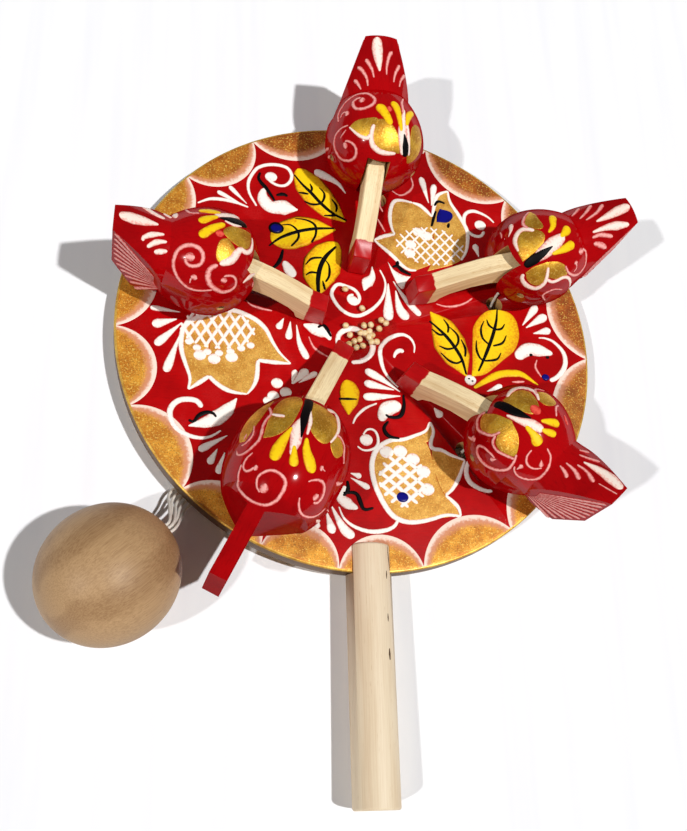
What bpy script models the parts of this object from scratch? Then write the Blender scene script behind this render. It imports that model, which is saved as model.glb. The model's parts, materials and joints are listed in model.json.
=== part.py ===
"""Pecking chickens toy: a painted wooden paddle with five hens whose necks are pulled by a ball on strings.

The toy lies on a table, heads down, with the ball beside the board. Sizes are in millimetres and are
turned into metres when a mesh is made. The paddle's own frame has its origin at the middle of the board's
top, +Z up and the handle towards -Y. Each hen's frame has its origin where the beak meets the board, +X
towards the tail. The finished toy is shifted so that the origin is the bottom centre of its box.
"""
import math
from typing import NamedTuple

import bmesh
import bpy
import numpy as np
from mathutils import Matrix, Vector

MM = 0.001
GAP = 0.3

# Board and handle
BOARD_DIAMETER = 160.0
BOARD_THICKNESS = 6.0
BOARD_EDGE = 0.6
HANDLE_DIAMETER = 14.0
HANDLE_LENGTH = 76.0
HANDLE_SLOT_DEPTH = 9.0
HANDLE_RISE = 3.4
HANDLE_CHAMFER = 0.8

# Hens: the turned body, measured along its own axis from the chest
BODY_FRONT_X = 26.0
BODY_AXIS_Z = 14.6
BODY_TILT = math.radians(8.0)
CHEST_LENGTH = 16.0
WAIST_FROM_CHEST = 30.0
TAIL_DIAMETER = 31.0
FLARE_POWER = 1.2
TRIM_SLOPE = math.radians(56.0)
TRIM_HEIGHT = 16.0
SIDE_CUT_RUN = 8.0
CUT_OVERRUN = 6.0

# Neck, pin and slot, in the hen's frame
NECK_THICKNESS = 6.0
NECK_EDGE = 0.35
SLOT_CLEARANCE = 0.8
SLOT_FRONT_X = 21.0
SLOT_BACK_X = 48.0
SLOT_TOP_Z = 24.4
PIN_X = 33.5
PIN_Z = 15.0
PIN_DIAMETER = 1.6
PIN_RECESS = 1.0
LEVER_X = 41.5
LEVER_END_Z = 8.9
LEVER_HOLE_Z = 12.6
LEVER_HOLE_DIAMETER = 1.8

# Side view of the neck: beak tip, head, arched top edge, lever end, throat notch and jaw
NECK_OUTLINE = (
    (0.0, 0.0), (0.8, 9.6), (6.5, 10.9), (11.0, 13.5), (16.0, 16.0), (21.0, 18.2), (26.0, 19.9),
    (31.0, 20.9), (36.0, 21.1), (41.0, 19.8), (44.6, 16.6), (45.4, 12.8), (44.0, 9.9), (40.5, LEVER_END_Z),
    (33.0, 10.3), (26.0, 11.0), (19.6, 9.3), (13.0, 5.9), (10.5, 3.4), (9.6, 0.9), (6.5, 0.0),
)

# Strings, the holes they go through, and the ball
STRING_DIAMETER = 1.0
STRING_HOLE_DIAMETER = 5.8
STRING_HOLE_X = 31.0
STRING_HOLE_Y = -5.8
STRING_Y = -5.0
STRING_STEP = 3.0
BALL_DIAMETER = 39.0
BALL_LENGTH = 41.5
BALL_X = -77.4
BALL_Y = -83.5
BALL_BEARING = math.radians(42.0)
BALL_LIFT = math.radians(-12.0)
BALL_HOLE_DIAMETER = 4.6
BALL_HOLE_DEPTH = 14.0
STRINGS_IN_HOLE = 9.0
STRING_RING_RADIUS = 1.35
PEG_DIAMETER = 1.0
PEG_LENGTH = 11.0

# The strings run side by side under the board's edge here
BUNDLE_X = -49.0
BUNDLE_Y = -48.5
BUNDLE_BEARING = math.radians(225.0)
STRAND_SPACING = 1.75
STRING_LIFT = 0.3
RIM_RUN = 12.5
RIM_LIFT = 2.2
MOUTH_RUN = 2.8
LIP_DEPTH = 0.6

# Millet grains glued round the middle of the board, and three that lie apart from the patch
GRAIN_DIAMETER = 2.1
GLUE_THICKNESS = 0.5
GLUE_RADIUS_X = 10.5
GLUE_RADIUS_Y = 6.5
PATCH_X = 2.6
PATCH_Y = -1.2
PATCH_TURN = math.radians(38.0)
PATCH_GRAINS = 18
LONE_GRAINS = ((-5.6, 15.4), (0.0, 8.7), (-5.8, 1.9))


class Hen(NamedTuple):
    """One hen. The turned body doesn't sit quite true on its neck: turn and side say by how much."""

    name: str
    beak: tuple
    heading: float
    diameter: float
    tail: float
    tip: float
    turn: float = 0.0
    side: float = 0.0
    shift: float = 0.0
    waist: float = 23.0
    root: float = 22.4
    stretch: float = 1.0
    fullness: float = 2.0
    knee: float = 0.0
    tail_side: float = 0.0


# beak: its point on the board. heading: of the neck towards the tail, in degrees. diameter, waist: of the turned
# body. tail: length behind the waist. root, tip: width between the sawn sides, at the waist and at the end.
# turn, side, shift: of the body against the neck, in degrees and along +Y and +X. fullness: power of the curve
# from the widest part to the waist. knee: length of a steep first part of the side cuts. tail_side: offset of the
# tail from the body's middle.
HENS = (
    Hen("back", (-1.6, 22.1), 83.8, 33.4, 18.0, 8.8, turn=8.5, waist=24.4, root=23.6),
    Hen("right", (15.8, 14.4), 11.0, 32.0, 18.5, 7.6, turn=8.6, side=3.3),
    Hen("front_right", (12.0, -15.1), -39.0, 34.6, 21.0, 3.4, turn=-8.7, side=1.8, shift=-1.2),
    Hen("front_left", (-7.3, -7.9), -117.5, 35.0, 30.0, 5.2, side=1.8, waist=26.0, root=27.0, stretch=1.3,
        fullness=3.0, knee=6.0, tail_side=-1.8),
    Hen("left", (-12.7, 4.7), 168.5, 33.4, 17.5, 5.4, turn=9.3, side=-1.1, shift=-1.3),
)
KNEE_START = 1.5

# Lane of each hen's string in the bundle, its bearing round the ball's hole in degrees, and how far the middle of
# its way bends aside
LANES = {"left": (2, 18.0, 0.0), "back": (1, -54.0, 0.0), "front_left": (0, 90.0, 0.0),
         "right": (-1, -126.0, -3.0), "front_right": (-2, 162.0, 0.0)}

LATHE_SEGMENTS = 28
WOOD = (0.80, 0.62, 0.38)
COLOURS = {
    "board_paint": ((0.55, 0.02, 0.02), 0.35, 0.0),
    "handle_wood": (WOOD, 0.6, 0.0),
    "hen_paint": ((0.50, 0.01, 0.01), 0.2, 0.0),
    "neck_wood": ((0.86, 0.70, 0.45), 0.55, 0.0),
    "wire": ((0.55, 0.55, 0.56), 0.35, 1.0),
    "string": ((0.85, 0.82, 0.74), 0.9, 0.0),
    "ball_wood": ((0.62, 0.45, 0.27), 0.55, 0.0),
    "grain": ((0.92, 0.86, 0.66), 0.5, 0.0),
}


def board_radius():
    return BOARD_DIAMETER / 2


def handle_axis_z():
    """Height of the dowel's axis in the paddle's frame, whose zero is the board's top."""
    return HANDLE_RISE - HANDLE_DIAMETER / 2


def handle_end_y():
    return -board_radius() + HANDLE_SLOT_DEPTH - HANDLE_LENGTH


def slot_width():
    return NECK_THICKNESS + 2 * SLOT_CLEARANCE


def handle_foot():
    """Lowest point of the dowel's upper end, which the lying paddle stands on."""
    y = -board_radius() + HANDLE_SLOT_DEPTH - HANDLE_CHAMFER
    return Vector((0, y, handle_axis_z() - HANDLE_DIAMETER / 2))


def paddle_tilt():
    """The paddle lies on the dowel's upper end and on the back hen's string, which passes under the board."""
    foot = handle_foot()
    back_hole_y = hen_point(HENS[0], STRING_HOLE_X, STRING_HOLE_Y)[1]
    room = STRING_DIAMETER + GAP + STRING_LIFT
    return math.asin((-BOARD_THICKNESS - foot.z - room) / (back_hole_y - foot.y))


def paddle_matrix():
    """Paddle frame to table frame: tilted so that the dowel's upper end touches z = 0."""
    tilt = Matrix.Rotation(-paddle_tilt(), 4, "X")
    return Matrix.Translation((0, 0, -(tilt @ handle_foot()).z)) @ tilt


def hen_matrix(hen):
    return Matrix.Translation((*hen.beak, 0)) @ Matrix.Rotation(math.radians(hen.heading), 4, "Z")


def hen_point(hen, x, y, z=0.0):
    """A point of a hen's frame, in the paddle's frame."""
    return hen_matrix(hen) @ Vector((x, y, z))


def clear_scene():
    for thing in list(bpy.data.objects):
        bpy.data.objects.remove(thing, do_unlink=True)


def material(name):
    found = bpy.data.materials.get(name)
    if found:
        return found
    colour, roughness, metallic = COLOURS[name]
    made = bpy.data.materials.new(name)
    made.use_nodes = True
    surface = made.node_tree.nodes["Principled BSDF"]
    surface.inputs["Base Color"].default_value = (*colour, 1)
    surface.inputs["Roughness"].default_value = roughness
    surface.inputs["Metallic"].default_value = metallic
    return made


def empty(name, parent, matrix):
    made = bpy.data.objects.new(name, None)
    bpy.context.collection.objects.link(made)
    made.parent = parent
    made.matrix_local = scaled(matrix)
    return made


def scaled(matrix):
    """A matrix in millimetres as one in metres: only its shift changes."""
    result = matrix.copy()
    result.translation *= MM
    return result


def add_object(name, mesh, parent, finish=None, origin=(0, 0, 0)):
    made = bpy.data.objects.new(name, mesh)
    bpy.context.collection.objects.link(made)
    made.parent = parent
    made.location = Vector(origin) * MM
    if finish:
        mesh.materials.append(material(finish))
    return made


def add_cutter(name, mesh, parent):
    made = add_object(name, mesh, parent)
    made.hide_render = True
    made.display_type = "WIRE"
    return made


def finish_mesh(name, shape, smooth=False):
    """Turn a bmesh in millimetres into a mesh in metres with its faces pointing out."""
    bmesh.ops.recalc_face_normals(shape, faces=shape.faces)
    bmesh.ops.scale(shape, vec=(MM, MM, MM), verts=shape.verts)
    mesh = bpy.data.meshes.new(name)
    shape.to_mesh(mesh)
    shape.free()
    if smooth:
        mesh.shade_smooth()
        mesh.set_sharp_from_angle(angle=math.radians(40))
    return mesh


def lathe(name, profile, place=Matrix(), segments=LATHE_SEGMENTS):
    """Turn a profile of (distance along the axis, radius) points round +X; its ends lie on the axis."""
    shape = bmesh.new()
    rings = []
    for along, radius in profile:
        if radius < 1e-6:
            rings.append([shape.verts.new((along, 0, 0))])
            continue
        turns = np.arange(segments) * 2 * math.pi / segments
        rings.append([shape.verts.new((along, radius * math.cos(t), radius * math.sin(t))) for t in turns])
    for first, second in zip(rings, rings[1:]):
        for k in range(segments):
            near = [first[k % len(first)], first[(k + 1) % len(first)]]
            far = [second[(k + 1) % len(second)], second[k % len(second)]]
            corners = list(dict.fromkeys(near + far))
            shape.faces.new(corners)
    bmesh.ops.transform(shape, matrix=place, verts=shape.verts)
    return finish_mesh(name, shape, smooth=True)


def box(name, low, high, place=Matrix()):
    shape = bmesh.new()
    middle = (Vector(low) + Vector(high)) / 2
    size = Vector(high) - Vector(low)
    bmesh.ops.create_cube(shape, size=1, matrix=place @ Matrix.Translation(middle) @ Matrix.Diagonal((*size, 1)))
    return finish_mesh(name, shape)


def prism(name, outline, low, high, upright=False, place=Matrix()):
    """Extrude a plan outline from z = low to high, or an upright (x, z) outline from y = low to high."""
    shape = bmesh.new()
    corners = [(x, low, y) if upright else (x, y, low) for x, y in outline]
    face = shape.faces.new([shape.verts.new(p) for p in corners])
    lifted = bmesh.ops.extrude_face_region(shape, geom=[face])["geom"]
    shift = (0, high - low, 0) if upright else (0, 0, high - low)
    bmesh.ops.translate(shape, vec=shift, verts=[v for v in lifted if isinstance(v, bmesh.types.BMVert)])
    bmesh.ops.transform(shape, matrix=place, verts=shape.verts)
    return finish_mesh(name, shape)


def cylinder(name, radius, low, high, place=Matrix(), segments=16):
    """A rod along +X from low to high."""
    return lathe(name, [(low, 0), (low, radius), (high, radius), (high, 0)], place, segments)


def cut(target, cutter, operation="DIFFERENCE"):
    step = target.modifiers.new(cutter.name, "BOOLEAN")
    step.operation = operation
    step.object = cutter


def round_edges(target, width, segments=1):
    step = target.modifiers.new("eased edges", "BEVEL")
    step.width = width * MM
    step.segments = segments
    step.limit_method = "ANGLE"
    step.angle_limit = math.radians(40)


def upright_rod(x, y):
    """Places a rod made along +X so that it stands along Z at (x, y)."""
    return Matrix.Translation((x, y, 0)) @ Matrix.Rotation(-math.pi / 2, 4, "Y")


def cross_rod(x, z):
    """Places a rod made along +X so that it lies along Y through (x, z)."""
    return Matrix.Translation((x, 0, z)) @ Matrix.Rotation(math.pi / 2, 4, "Z")


def make_board(paddle):
    """A sawn disc with eased edges and one string hole in front of each hen."""
    radius, low = board_radius(), -BOARD_THICKNESS
    profile = [(low, 0), (low, radius - BOARD_EDGE), (low + BOARD_EDGE, radius),
               (-BOARD_EDGE, radius), (0, radius - BOARD_EDGE), (0, 0)]
    board = add_object("board", lathe("board", profile, upright_rod(0, 0), 96), paddle, "board_paint")
    for hen in HENS:
        place = upright_rod(*hen_point(hen, STRING_HOLE_X, STRING_HOLE_Y)[:2])
        mesh = cylinder("string hole", STRING_HOLE_DIAMETER / 2, low - 1, 1, place)
        cut(board, add_cutter("hole_" + hen.name, mesh, paddle))


def make_handle(paddle):
    """A dowel with a slot across its top end, which grips the board's edge."""
    radius, start = HANDLE_DIAMETER / 2, handle_end_y()
    ease = HANDLE_CHAMFER
    profile = [(0, 0), (0, radius - ease), (ease, radius), (HANDLE_LENGTH - ease, radius),
               (HANDLE_LENGTH, radius - ease), (HANDLE_LENGTH, 0)]
    place = Matrix.Translation((0, start, handle_axis_z())) @ Matrix.Rotation(math.pi / 2, 4, "Z")
    handle = add_object("handle", lathe("handle", profile, place, 32), paddle, "handle_wood")
    mesh = lathe("slot", [(-BOARD_THICKNESS - GAP, 0), (-BOARD_THICKNESS - GAP, board_radius() + GAP),
                          (GAP, board_radius() + GAP), (GAP, 0)], upright_rod(0, 0), 96)
    cut(handle, add_cutter("handle_slot", mesh, paddle))


def chest_length(hen):
    return CHEST_LENGTH * hen.stretch


def waist_place(hen):
    """Distance from the chest to the waist, along the body's axis."""
    return WAIST_FROM_CHEST * hen.stretch


def back_radius(hen, along):
    """The back falls away from the widest part to the waist, faster and faster."""
    u = (along - chest_length(hen)) / (waist_place(hen) - chest_length(hen))
    return hen.diameter / 2 - (hen.diameter - hen.waist) / 2 * u ** hen.fullness


def chest_radius(hen, along):
    """The chest is half an ellipse."""
    return hen.diameter / 2 * math.sqrt(max(0, 1 - (1 - along / chest_length(hen)) ** 2))


def body_profile(hen):
    """The turned shape: round chest, back falling to the waist, then the flare of the tail."""
    chest, waist = chest_length(hen), waist_place(hen)
    front = [(a, chest_radius(hen, a)) for a in chest * (1 - np.cos(np.linspace(0, math.pi / 2, 8)))]
    back = [(a, back_radius(hen, a)) for a in np.linspace(chest, waist, 7)[1:]]
    flare = [(waist + hen.tail * u, hen.waist / 2 + (TAIL_DIAMETER - hen.waist) / 2 * u ** FLARE_POWER)
             for u in np.linspace(0, 1, 6)[1:]]
    return front + back + flare + [(flare[-1][0], 0)]


def body_plan(hen):
    """Plan of the turned body in the hen's frame: turned about the middle of its widest part, and moved."""
    middle = BODY_FRONT_X + chest_length(hen)
    turn = Matrix.Rotation(math.radians(hen.turn), 4, "Z")
    return Matrix.Translation((middle + hen.shift, hen.side, 0)) @ turn @ Matrix.Translation((-middle, 0, 0))


def body_place(hen):
    """Axis of the turned body: through the middle of its widest part, rising towards the tail."""
    chest = chest_length(hen)
    middle = Matrix.Translation((BODY_FRONT_X + chest, 0, BODY_AXIS_Z))
    return body_plan(hen) @ middle @ Matrix.Rotation(-BODY_TILT, 4, "Y") @ Matrix.Translation((-chest, 0, 0))


def tail_end_x(hen):
    """Where the tail is sawn off upright: at the rear edge of the flare's top."""
    run = waist_place(hen) + hen.tail - chest_length(hen)
    return (BODY_FRONT_X + chest_length(hen) + run * math.cos(BODY_TILT)
            - TAIL_DIAMETER / 2 * math.sin(BODY_TILT))


def tail_cut_outline(hen, side):
    """Plan of what is sawn off one side of the tail. The saw runs from the body's back past the waist to the
    tail's tip, in one line or, with a knee, steeply at first and then straight back."""
    waist, tip, root = BODY_FRONT_X + waist_place(hen), hen.tip / 2, hen.root / 2
    reach, outside = waist + hen.tail + CUT_OVERRUN, hen.diameter
    if hen.knee:
        inner = [(waist - KNEE_START, root), (waist - KNEE_START + hen.knee, tip), (reach, tip)]
    else:
        slope = (root - tip) / hen.tail
        inner = [(waist - SIDE_CUT_RUN, root + slope * SIDE_CUT_RUN),
                 (reach, max(tip - slope * CUT_OVERRUN, 0.2))]
    outline = inner + [(reach, outside), (inner[0][0], outside)]
    return [(x, side * y + hen.tail_side) for x, y in outline]


def make_body(hen, frame):
    """Turned egg and flare, sawn flat below, on both sides of the tail, behind and under it, and slotted for
    the neck."""
    name, tall, plan = "body_" + hen.name, hen.diameter * 2, body_plan(hen)
    body = add_object(name, lathe(name, body_profile(hen), body_place(hen)), frame, "hen_paint")
    cut(body, add_cutter(name + "_base", box("base", (0, -tall, -tall), (tall * 2, tall, GAP)), frame))
    for label, side in (("near", -1), ("far", 1)):
        mesh = prism("tail side", tail_cut_outline(hen, side), -tall, tall, place=plan)
        cut(body, add_cutter(name + "_tail_" + label, mesh, frame))
    mesh = box("tail end", (tail_end_x(hen), -tall, -tall), (tail_end_x(hen) + tall, tall, tall), plan)
    cut(body, add_cutter(name + "_end", mesh, frame))
    trim = Matrix.Translation((tail_end_x(hen), 0, TRIM_HEIGHT)) @ Matrix.Rotation(-TRIM_SLOPE, 4, "Y")
    cut(body, add_cutter(name + "_trim", box("trim", (-tall, -tall, -tall), (tall, tall, 0), plan @ trim), frame))
    half = slot_width() / 2
    mesh = box("slot", (SLOT_FRONT_X, -half, -tall), (SLOT_BACK_X, half, SLOT_TOP_Z))
    cut(body, add_cutter(name + "_slot", mesh, frame))
    bore = PIN_DIAMETER / 2 + GAP
    mesh = cylinder("bore", bore, -tall, tall, cross_rod(PIN_X, PIN_Z), 12)
    cut(body, add_cutter(name + "_bore", mesh, frame))


def pin_reach(hen, side):
    """Distance along the pin's line from the neck's middle to the body's skin, found by halving."""
    near, far = 0.0, hen.diameter
    for _ in range(30):
        middle = (near + far) / 2
        spot = body_place(hen).inverted() @ Vector((PIN_X, side * middle, PIN_Z))
        if math.hypot(spot.y, spot.z) < chest_radius(hen, min(max(spot.x, 0), chest_length(hen))):
            near = middle
        else:
            far = middle
    return near


def make_pin(hen, frame):
    low, high = (side * (pin_reach(hen, side) - PIN_RECESS) for side in (-1, 1))
    mesh = cylinder("pin", PIN_DIAMETER / 2, low, high, cross_rod(0, 0), 12)
    add_object("pin_" + hen.name, mesh, frame, "wire", (PIN_X, 0, PIN_Z))


def make_neck(hen, frame):
    """Flat sawn neck whose origin is on the pin's axis; the beak's tip just clears the board."""
    outline = [(x - PIN_X, z + GAP - PIN_Z) for x, z in NECK_OUTLINE]
    name, half = "neck_" + hen.name, NECK_THICKNESS / 2
    neck = add_object(name, prism(name, outline, -half, half, upright=True), frame, "neck_wood", (PIN_X, 0, PIN_Z))
    bores = ((PIN_DIAMETER / 2 + GAP, 0, 0, "bore"),
             (LEVER_HOLE_DIAMETER / 2, LEVER_X - PIN_X, LEVER_HOLE_Z - PIN_Z, "string_hole"))
    for radius, x, z, label in bores:
        mesh = cylinder(label, radius, -NECK_THICKNESS, NECK_THICKNESS, cross_rod(x, z), 12)
        cutter = add_cutter(name + "_" + label, mesh, frame)
        cutter.location = neck.location
        cut(neck, cutter)
    round_edges(neck, NECK_EDGE)


def smooth_route(points, step):
    """Points about every step along a curve through the route's points that leans no more than it has to."""
    route = np.array(points, float)
    padded = np.vstack([2 * route[0] - route[1], route, 2 * route[-1] - route[-2]])
    leans = padded[2:] - padded[:-2]
    leans /= np.linalg.norm(leans, axis=1)[:, None]
    t = np.linspace(0, 1, 40, endpoint=False)[:, None]
    fine = []
    for a, b, lean_a, lean_b in zip(route, route[1:], leans, leans[1:]):
        reach = np.linalg.norm(b - a)
        fine.append((2 * t ** 3 - 3 * t ** 2 + 1) * a + (t ** 3 - 2 * t ** 2 + t) * reach * lean_a
                    + (3 * t ** 2 - 2 * t ** 3) * b + (t ** 3 - t ** 2) * reach * lean_b)
    line = np.vstack(fine + [route[-1:]])
    along = np.concatenate([[0], np.cumsum(np.linalg.norm(np.diff(line, axis=0), axis=1))])
    places = np.linspace(0, along[-1], max(2, round(along[-1] / step)) + 1)
    return np.column_stack([np.interp(places, along, line[:, k]) for k in range(3)])


def make_tube(name, points, diameter, parent, finish, step):
    curve = bpy.data.curves.new(name, "CURVE")
    curve.dimensions = "3D"
    curve.bevel_depth = diameter / 2 * MM
    curve.bevel_resolution = 2
    curve.use_fill_caps = True
    route = smooth_route(points, step)
    line = curve.splines.new("POLY")
    line.points.add(len(route) - 1)
    for point, place in zip(line.points, route):
        point.co = (*(place * MM), 1)
    add_object(name, curve, parent, finish)


def make_pull_string(hen, frame):
    """From the lever's end down through the slot's open underside into the board's hole."""
    top, low = LEVER_END_Z - GAP, -BOARD_THICKNESS / 2
    points = [(LEVER_X, 0, top), (LEVER_X - 1.0, -0.3, top - 2.0), (STRING_HOLE_X + 2.1, -2.3, 2.3),
              (STRING_HOLE_X + 0.4, STRING_Y + 1.1, 0.1), (STRING_HOLE_X, STRING_Y, low)]
    make_tube("pull_string_" + hen.name, points, STRING_DIAMETER, frame, "string", STRING_STEP / 2)


def ball_matrix():
    """Ball frame to table frame: +X along its axis, out of the string hole."""
    low = math.hypot(BALL_DIAMETER / 2 * math.cos(BALL_LIFT), BALL_LENGTH / 2 * math.sin(BALL_LIFT))
    place = Matrix.Translation((BALL_X, BALL_Y, low))
    return place @ Matrix.Rotation(BALL_BEARING, 4, "Z") @ Matrix.Rotation(-BALL_LIFT, 4, "Y")


def string_route(hen):
    """Table-frame route of one string: out of its hole, along the table, under the rim and into the ball."""
    paddle, ball = paddle_matrix(), ball_matrix()
    lane, turn, sway = LANES[hen.name]
    turn = math.radians(turn)
    start = paddle @ hen_point(hen, STRING_HOLE_X, STRING_Y, -BOARD_THICKNESS / 2 - GAP)
    underside = paddle @ hen_point(hen, STRING_HOLE_X, STRING_Y, -BOARD_THICKNESS)
    floor = STRING_DIAMETER / 2 + STRING_LIFT
    along = Vector((math.cos(BUNDLE_BEARING), math.sin(BUNDLE_BEARING), 0))
    across = Vector((along.y, -along.x, 0))
    gather = Vector((BUNDLE_X, BUNDLE_Y, floor)) + across * lane * STRAND_SPACING
    away = Vector((gather.x - underside.x, gather.y - underside.y, 0)).normalized()
    below = Vector((underside.x, underside.y, floor))
    drop, corner = below + away * 0.1 + Vector((0, 0, 1.2)), below + away * 1.1 + Vector((0, 0, 0.3))
    settled = below + away * 4.0
    rim = gather + along * RIM_RUN + Vector((0, 0, RIM_LIFT))
    ring = Vector((0, math.cos(turn), math.sin(turn))) * STRING_RING_RADIUS
    mouth, lip, end = (ball @ (ring + Vector((BALL_LENGTH / 2 + out, 0, 0)))
                       for out in (MOUTH_RUN, -LIP_DEPTH, -STRINGS_IN_HOLE))
    bend = rim.lerp(mouth, 0.5) + Vector((0, 0, -0.8))
    middle = settled.lerp(gather, 0.5) + across * sway
    return [start, drop, corner, settled, middle, gather, rim, bend, mouth, lip, end]


def make_ball(toy):
    """A plain turned ball, a little longer than wide, drilled at one end for the strings and their peg."""
    swing = np.linspace(0, math.pi, 19)
    profile = [(-BALL_LENGTH / 2 * math.cos(t), BALL_DIAMETER / 2 * math.sin(t)) for t in swing]
    ball = add_object("ball", lathe("ball", profile, ball_matrix(), 36), toy, "ball_wood")
    deep = BALL_LENGTH / 2 - BALL_HOLE_DEPTH
    mesh = cylinder("hole", BALL_HOLE_DIAMETER / 2, deep, BALL_LENGTH, ball_matrix())
    cut(ball, add_cutter("ball_hole", mesh, toy))
    end = BALL_LENGTH / 2 - 1.0
    mesh = cylinder("peg", PEG_DIAMETER / 2, end - PEG_LENGTH, end, ball_matrix(), 8)
    add_object("ball_peg", mesh, toy, "handle_wood")


def grain_shape(shape, x, y, z):
    place = Matrix.Translation((x, y, z))
    bmesh.ops.create_icosphere(shape, subdivisions=1, radius=GRAIN_DIAMETER / 2, matrix=place)


def make_grains(paddle):
    """A thin spot of glue with millet grains sunk into it, and three lone grains."""
    glue = lathe("glue", [(GAP, 0), (GAP, 1), (GAP + GLUE_THICKNESS, 0.94), (GAP + GLUE_THICKNESS, 0)],
                 upright_rod(0, 0), 32)
    for vertex in glue.vertices:
        vertex.co.x *= GLUE_RADIUS_X
        vertex.co.y *= GLUE_RADIUS_Y
    patch = add_object("grain_patch", glue, paddle, "grain", (PATCH_X, PATCH_Y, 0))
    patch.rotation_euler.z = PATCH_TURN
    rng = np.random.default_rng(4)
    placed = []
    while len(placed) < PATCH_GRAINS:
        spot = rng.uniform(-1, 1, 2)
        if np.hypot(*spot) > 0.86:
            continue
        spot = spot * (GLUE_RADIUS_X - 0.6, GLUE_RADIUS_Y - 0.6)
        if all(np.hypot(*(spot - other)) > GRAIN_DIAMETER + 0.1 for other in placed):
            placed.append(spot)
    height = GAP + GRAIN_DIAMETER / 2
    for number, (x, y) in enumerate(placed):
        shape = bmesh.new()
        grain_shape(shape, x, y, height)
        cutter = add_cutter(f"patch_grain_{number + 1}", finish_mesh("grain", shape), paddle)
        cutter.location, cutter.rotation_euler = patch.location, patch.rotation_euler
        cut(patch, cutter, "UNION")
    for number, (x, y) in enumerate(LONE_GRAINS):
        shape = bmesh.new()
        grain_shape(shape, 0, 0, 0)
        add_object(f"grain_{number + 1}", finish_mesh("grain", shape), paddle, "grain", (x, y, height))


def centre_on_box(toy):
    """Shift the toy so that the origin is the bottom centre of its box."""
    bpy.context.view_layer.update()
    graph = bpy.context.evaluated_depsgraph_get()
    low, high = np.full(3, np.inf), np.full(3, -np.inf)
    for thing in bpy.data.objects:
        if thing.hide_render or thing.type not in {"MESH", "CURVE"}:
            continue
        seen = thing.evaluated_get(graph)
        mesh = seen.to_mesh()
        points = np.array([seen.matrix_world @ v.co for v in mesh.vertices])
        low, high = np.minimum(low, points.min(axis=0)), np.maximum(high, points.max(axis=0))
        seen.to_mesh_clear()
    toy.location = (-(low[0] + high[0]) / 2, -(low[1] + high[1]) / 2, -low[2])
    bpy.context.view_layer.update()


def main():
    clear_scene()
    toy = empty("toy", None, Matrix())
    paddle = empty("paddle", toy, paddle_matrix())
    make_board(paddle)
    make_handle(paddle)
    make_grains(paddle)
    for hen in HENS:
        frame = empty("hen_" + hen.name, paddle, hen_matrix(hen))
        make_body(hen, frame)
        make_neck(hen, frame)
        make_pin(hen, frame)
        make_pull_string(hen, frame)
        make_tube("string_" + hen.name, string_route(hen), STRING_DIAMETER, toy, "string", STRING_STEP)
    make_ball(toy)
    centre_on_box(toy)


main()
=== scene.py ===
"""Looks of the pecking hens toy: lacquer, gilding, brushwork, bare wood and twisted string.

Shapes are worked out in millimetres, either in the paddle's frame (origin at the middle of the board's
top, +Z up, handle towards -Y) or in a hen's frame (origin where the beak meets the board, +X towards the
tail), and are turned into the row frame when a mesh is made. Angles round a hen are in degrees from the
middle of its back, positive towards its own +Y side.
"""
import json
import math
import re
from typing import Callable, NamedTuple

import bmesh
import bpy
import numpy as np
from mathutils import Matrix, Vector

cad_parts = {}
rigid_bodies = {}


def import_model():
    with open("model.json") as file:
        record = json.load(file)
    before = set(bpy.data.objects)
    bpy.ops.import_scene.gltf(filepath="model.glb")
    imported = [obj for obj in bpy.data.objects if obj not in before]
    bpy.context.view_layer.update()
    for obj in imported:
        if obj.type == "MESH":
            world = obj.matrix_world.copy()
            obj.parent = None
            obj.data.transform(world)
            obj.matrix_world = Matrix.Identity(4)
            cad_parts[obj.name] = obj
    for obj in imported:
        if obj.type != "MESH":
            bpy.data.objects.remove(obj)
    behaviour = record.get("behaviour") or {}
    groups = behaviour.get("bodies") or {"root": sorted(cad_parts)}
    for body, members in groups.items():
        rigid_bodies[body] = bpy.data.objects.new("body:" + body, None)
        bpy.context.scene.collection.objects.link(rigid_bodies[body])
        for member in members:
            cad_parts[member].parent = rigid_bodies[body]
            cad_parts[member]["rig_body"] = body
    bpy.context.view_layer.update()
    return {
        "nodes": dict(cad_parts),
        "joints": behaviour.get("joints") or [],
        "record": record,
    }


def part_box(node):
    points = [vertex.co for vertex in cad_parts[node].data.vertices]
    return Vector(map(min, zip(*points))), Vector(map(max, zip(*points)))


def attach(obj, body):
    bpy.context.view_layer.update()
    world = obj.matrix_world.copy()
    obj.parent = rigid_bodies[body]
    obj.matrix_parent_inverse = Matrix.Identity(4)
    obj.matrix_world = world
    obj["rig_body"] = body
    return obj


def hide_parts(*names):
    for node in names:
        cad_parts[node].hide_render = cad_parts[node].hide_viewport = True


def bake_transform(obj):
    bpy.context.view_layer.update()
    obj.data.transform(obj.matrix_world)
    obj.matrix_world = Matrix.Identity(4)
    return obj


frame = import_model()

MM = 0.001
# How near two points of a new mesh or of a carried-over one are merged, in metres
MERGE, MERGE_SEAMS = 2e-7, 1e-6

# Sizes of the solids, in millimetres
BOARD_RADIUS = 80.0
BOARD_THICKNESS = 6.0
BOARD_EDGE = 0.6
HANDLE_DIAMETER = 14.0
HANDLE_LENGTH = 76.0
HANDLE_LAP = 9.0
HANDLE_AXIS_Z = -3.6
BODY_FRONT_X = 26.0
BODY_AXIS_Z = 14.6
BODY_TILT = math.radians(8.0)
CHEST_LENGTH = 16.0
WAIST_FROM_CHEST = 30.0
TAIL_DIAMETER = 31.0
FLARE_POWER = 1.2
TRIM_SLOPE = math.radians(56.0)
TRIM_HEIGHT = 16.0
SIDE_CUT_RUN = 8.0
CUT_OVERRUN = 6.0
THINNEST_HALF = 0.2
KNEE_START = 1.5
BODY_BASE = 0.3
SLOT_HALF = 3.8
SLOT_FRONT_X = 21.0
SLOT_BACK_X = 48.0
SLOT_TOP_Z = 24.4
HEAD_LENGTH = 6.6
PIN_X, PIN_Z = 33.5, 15.0
PIN_BORE_RADIUS = 1.1
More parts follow.
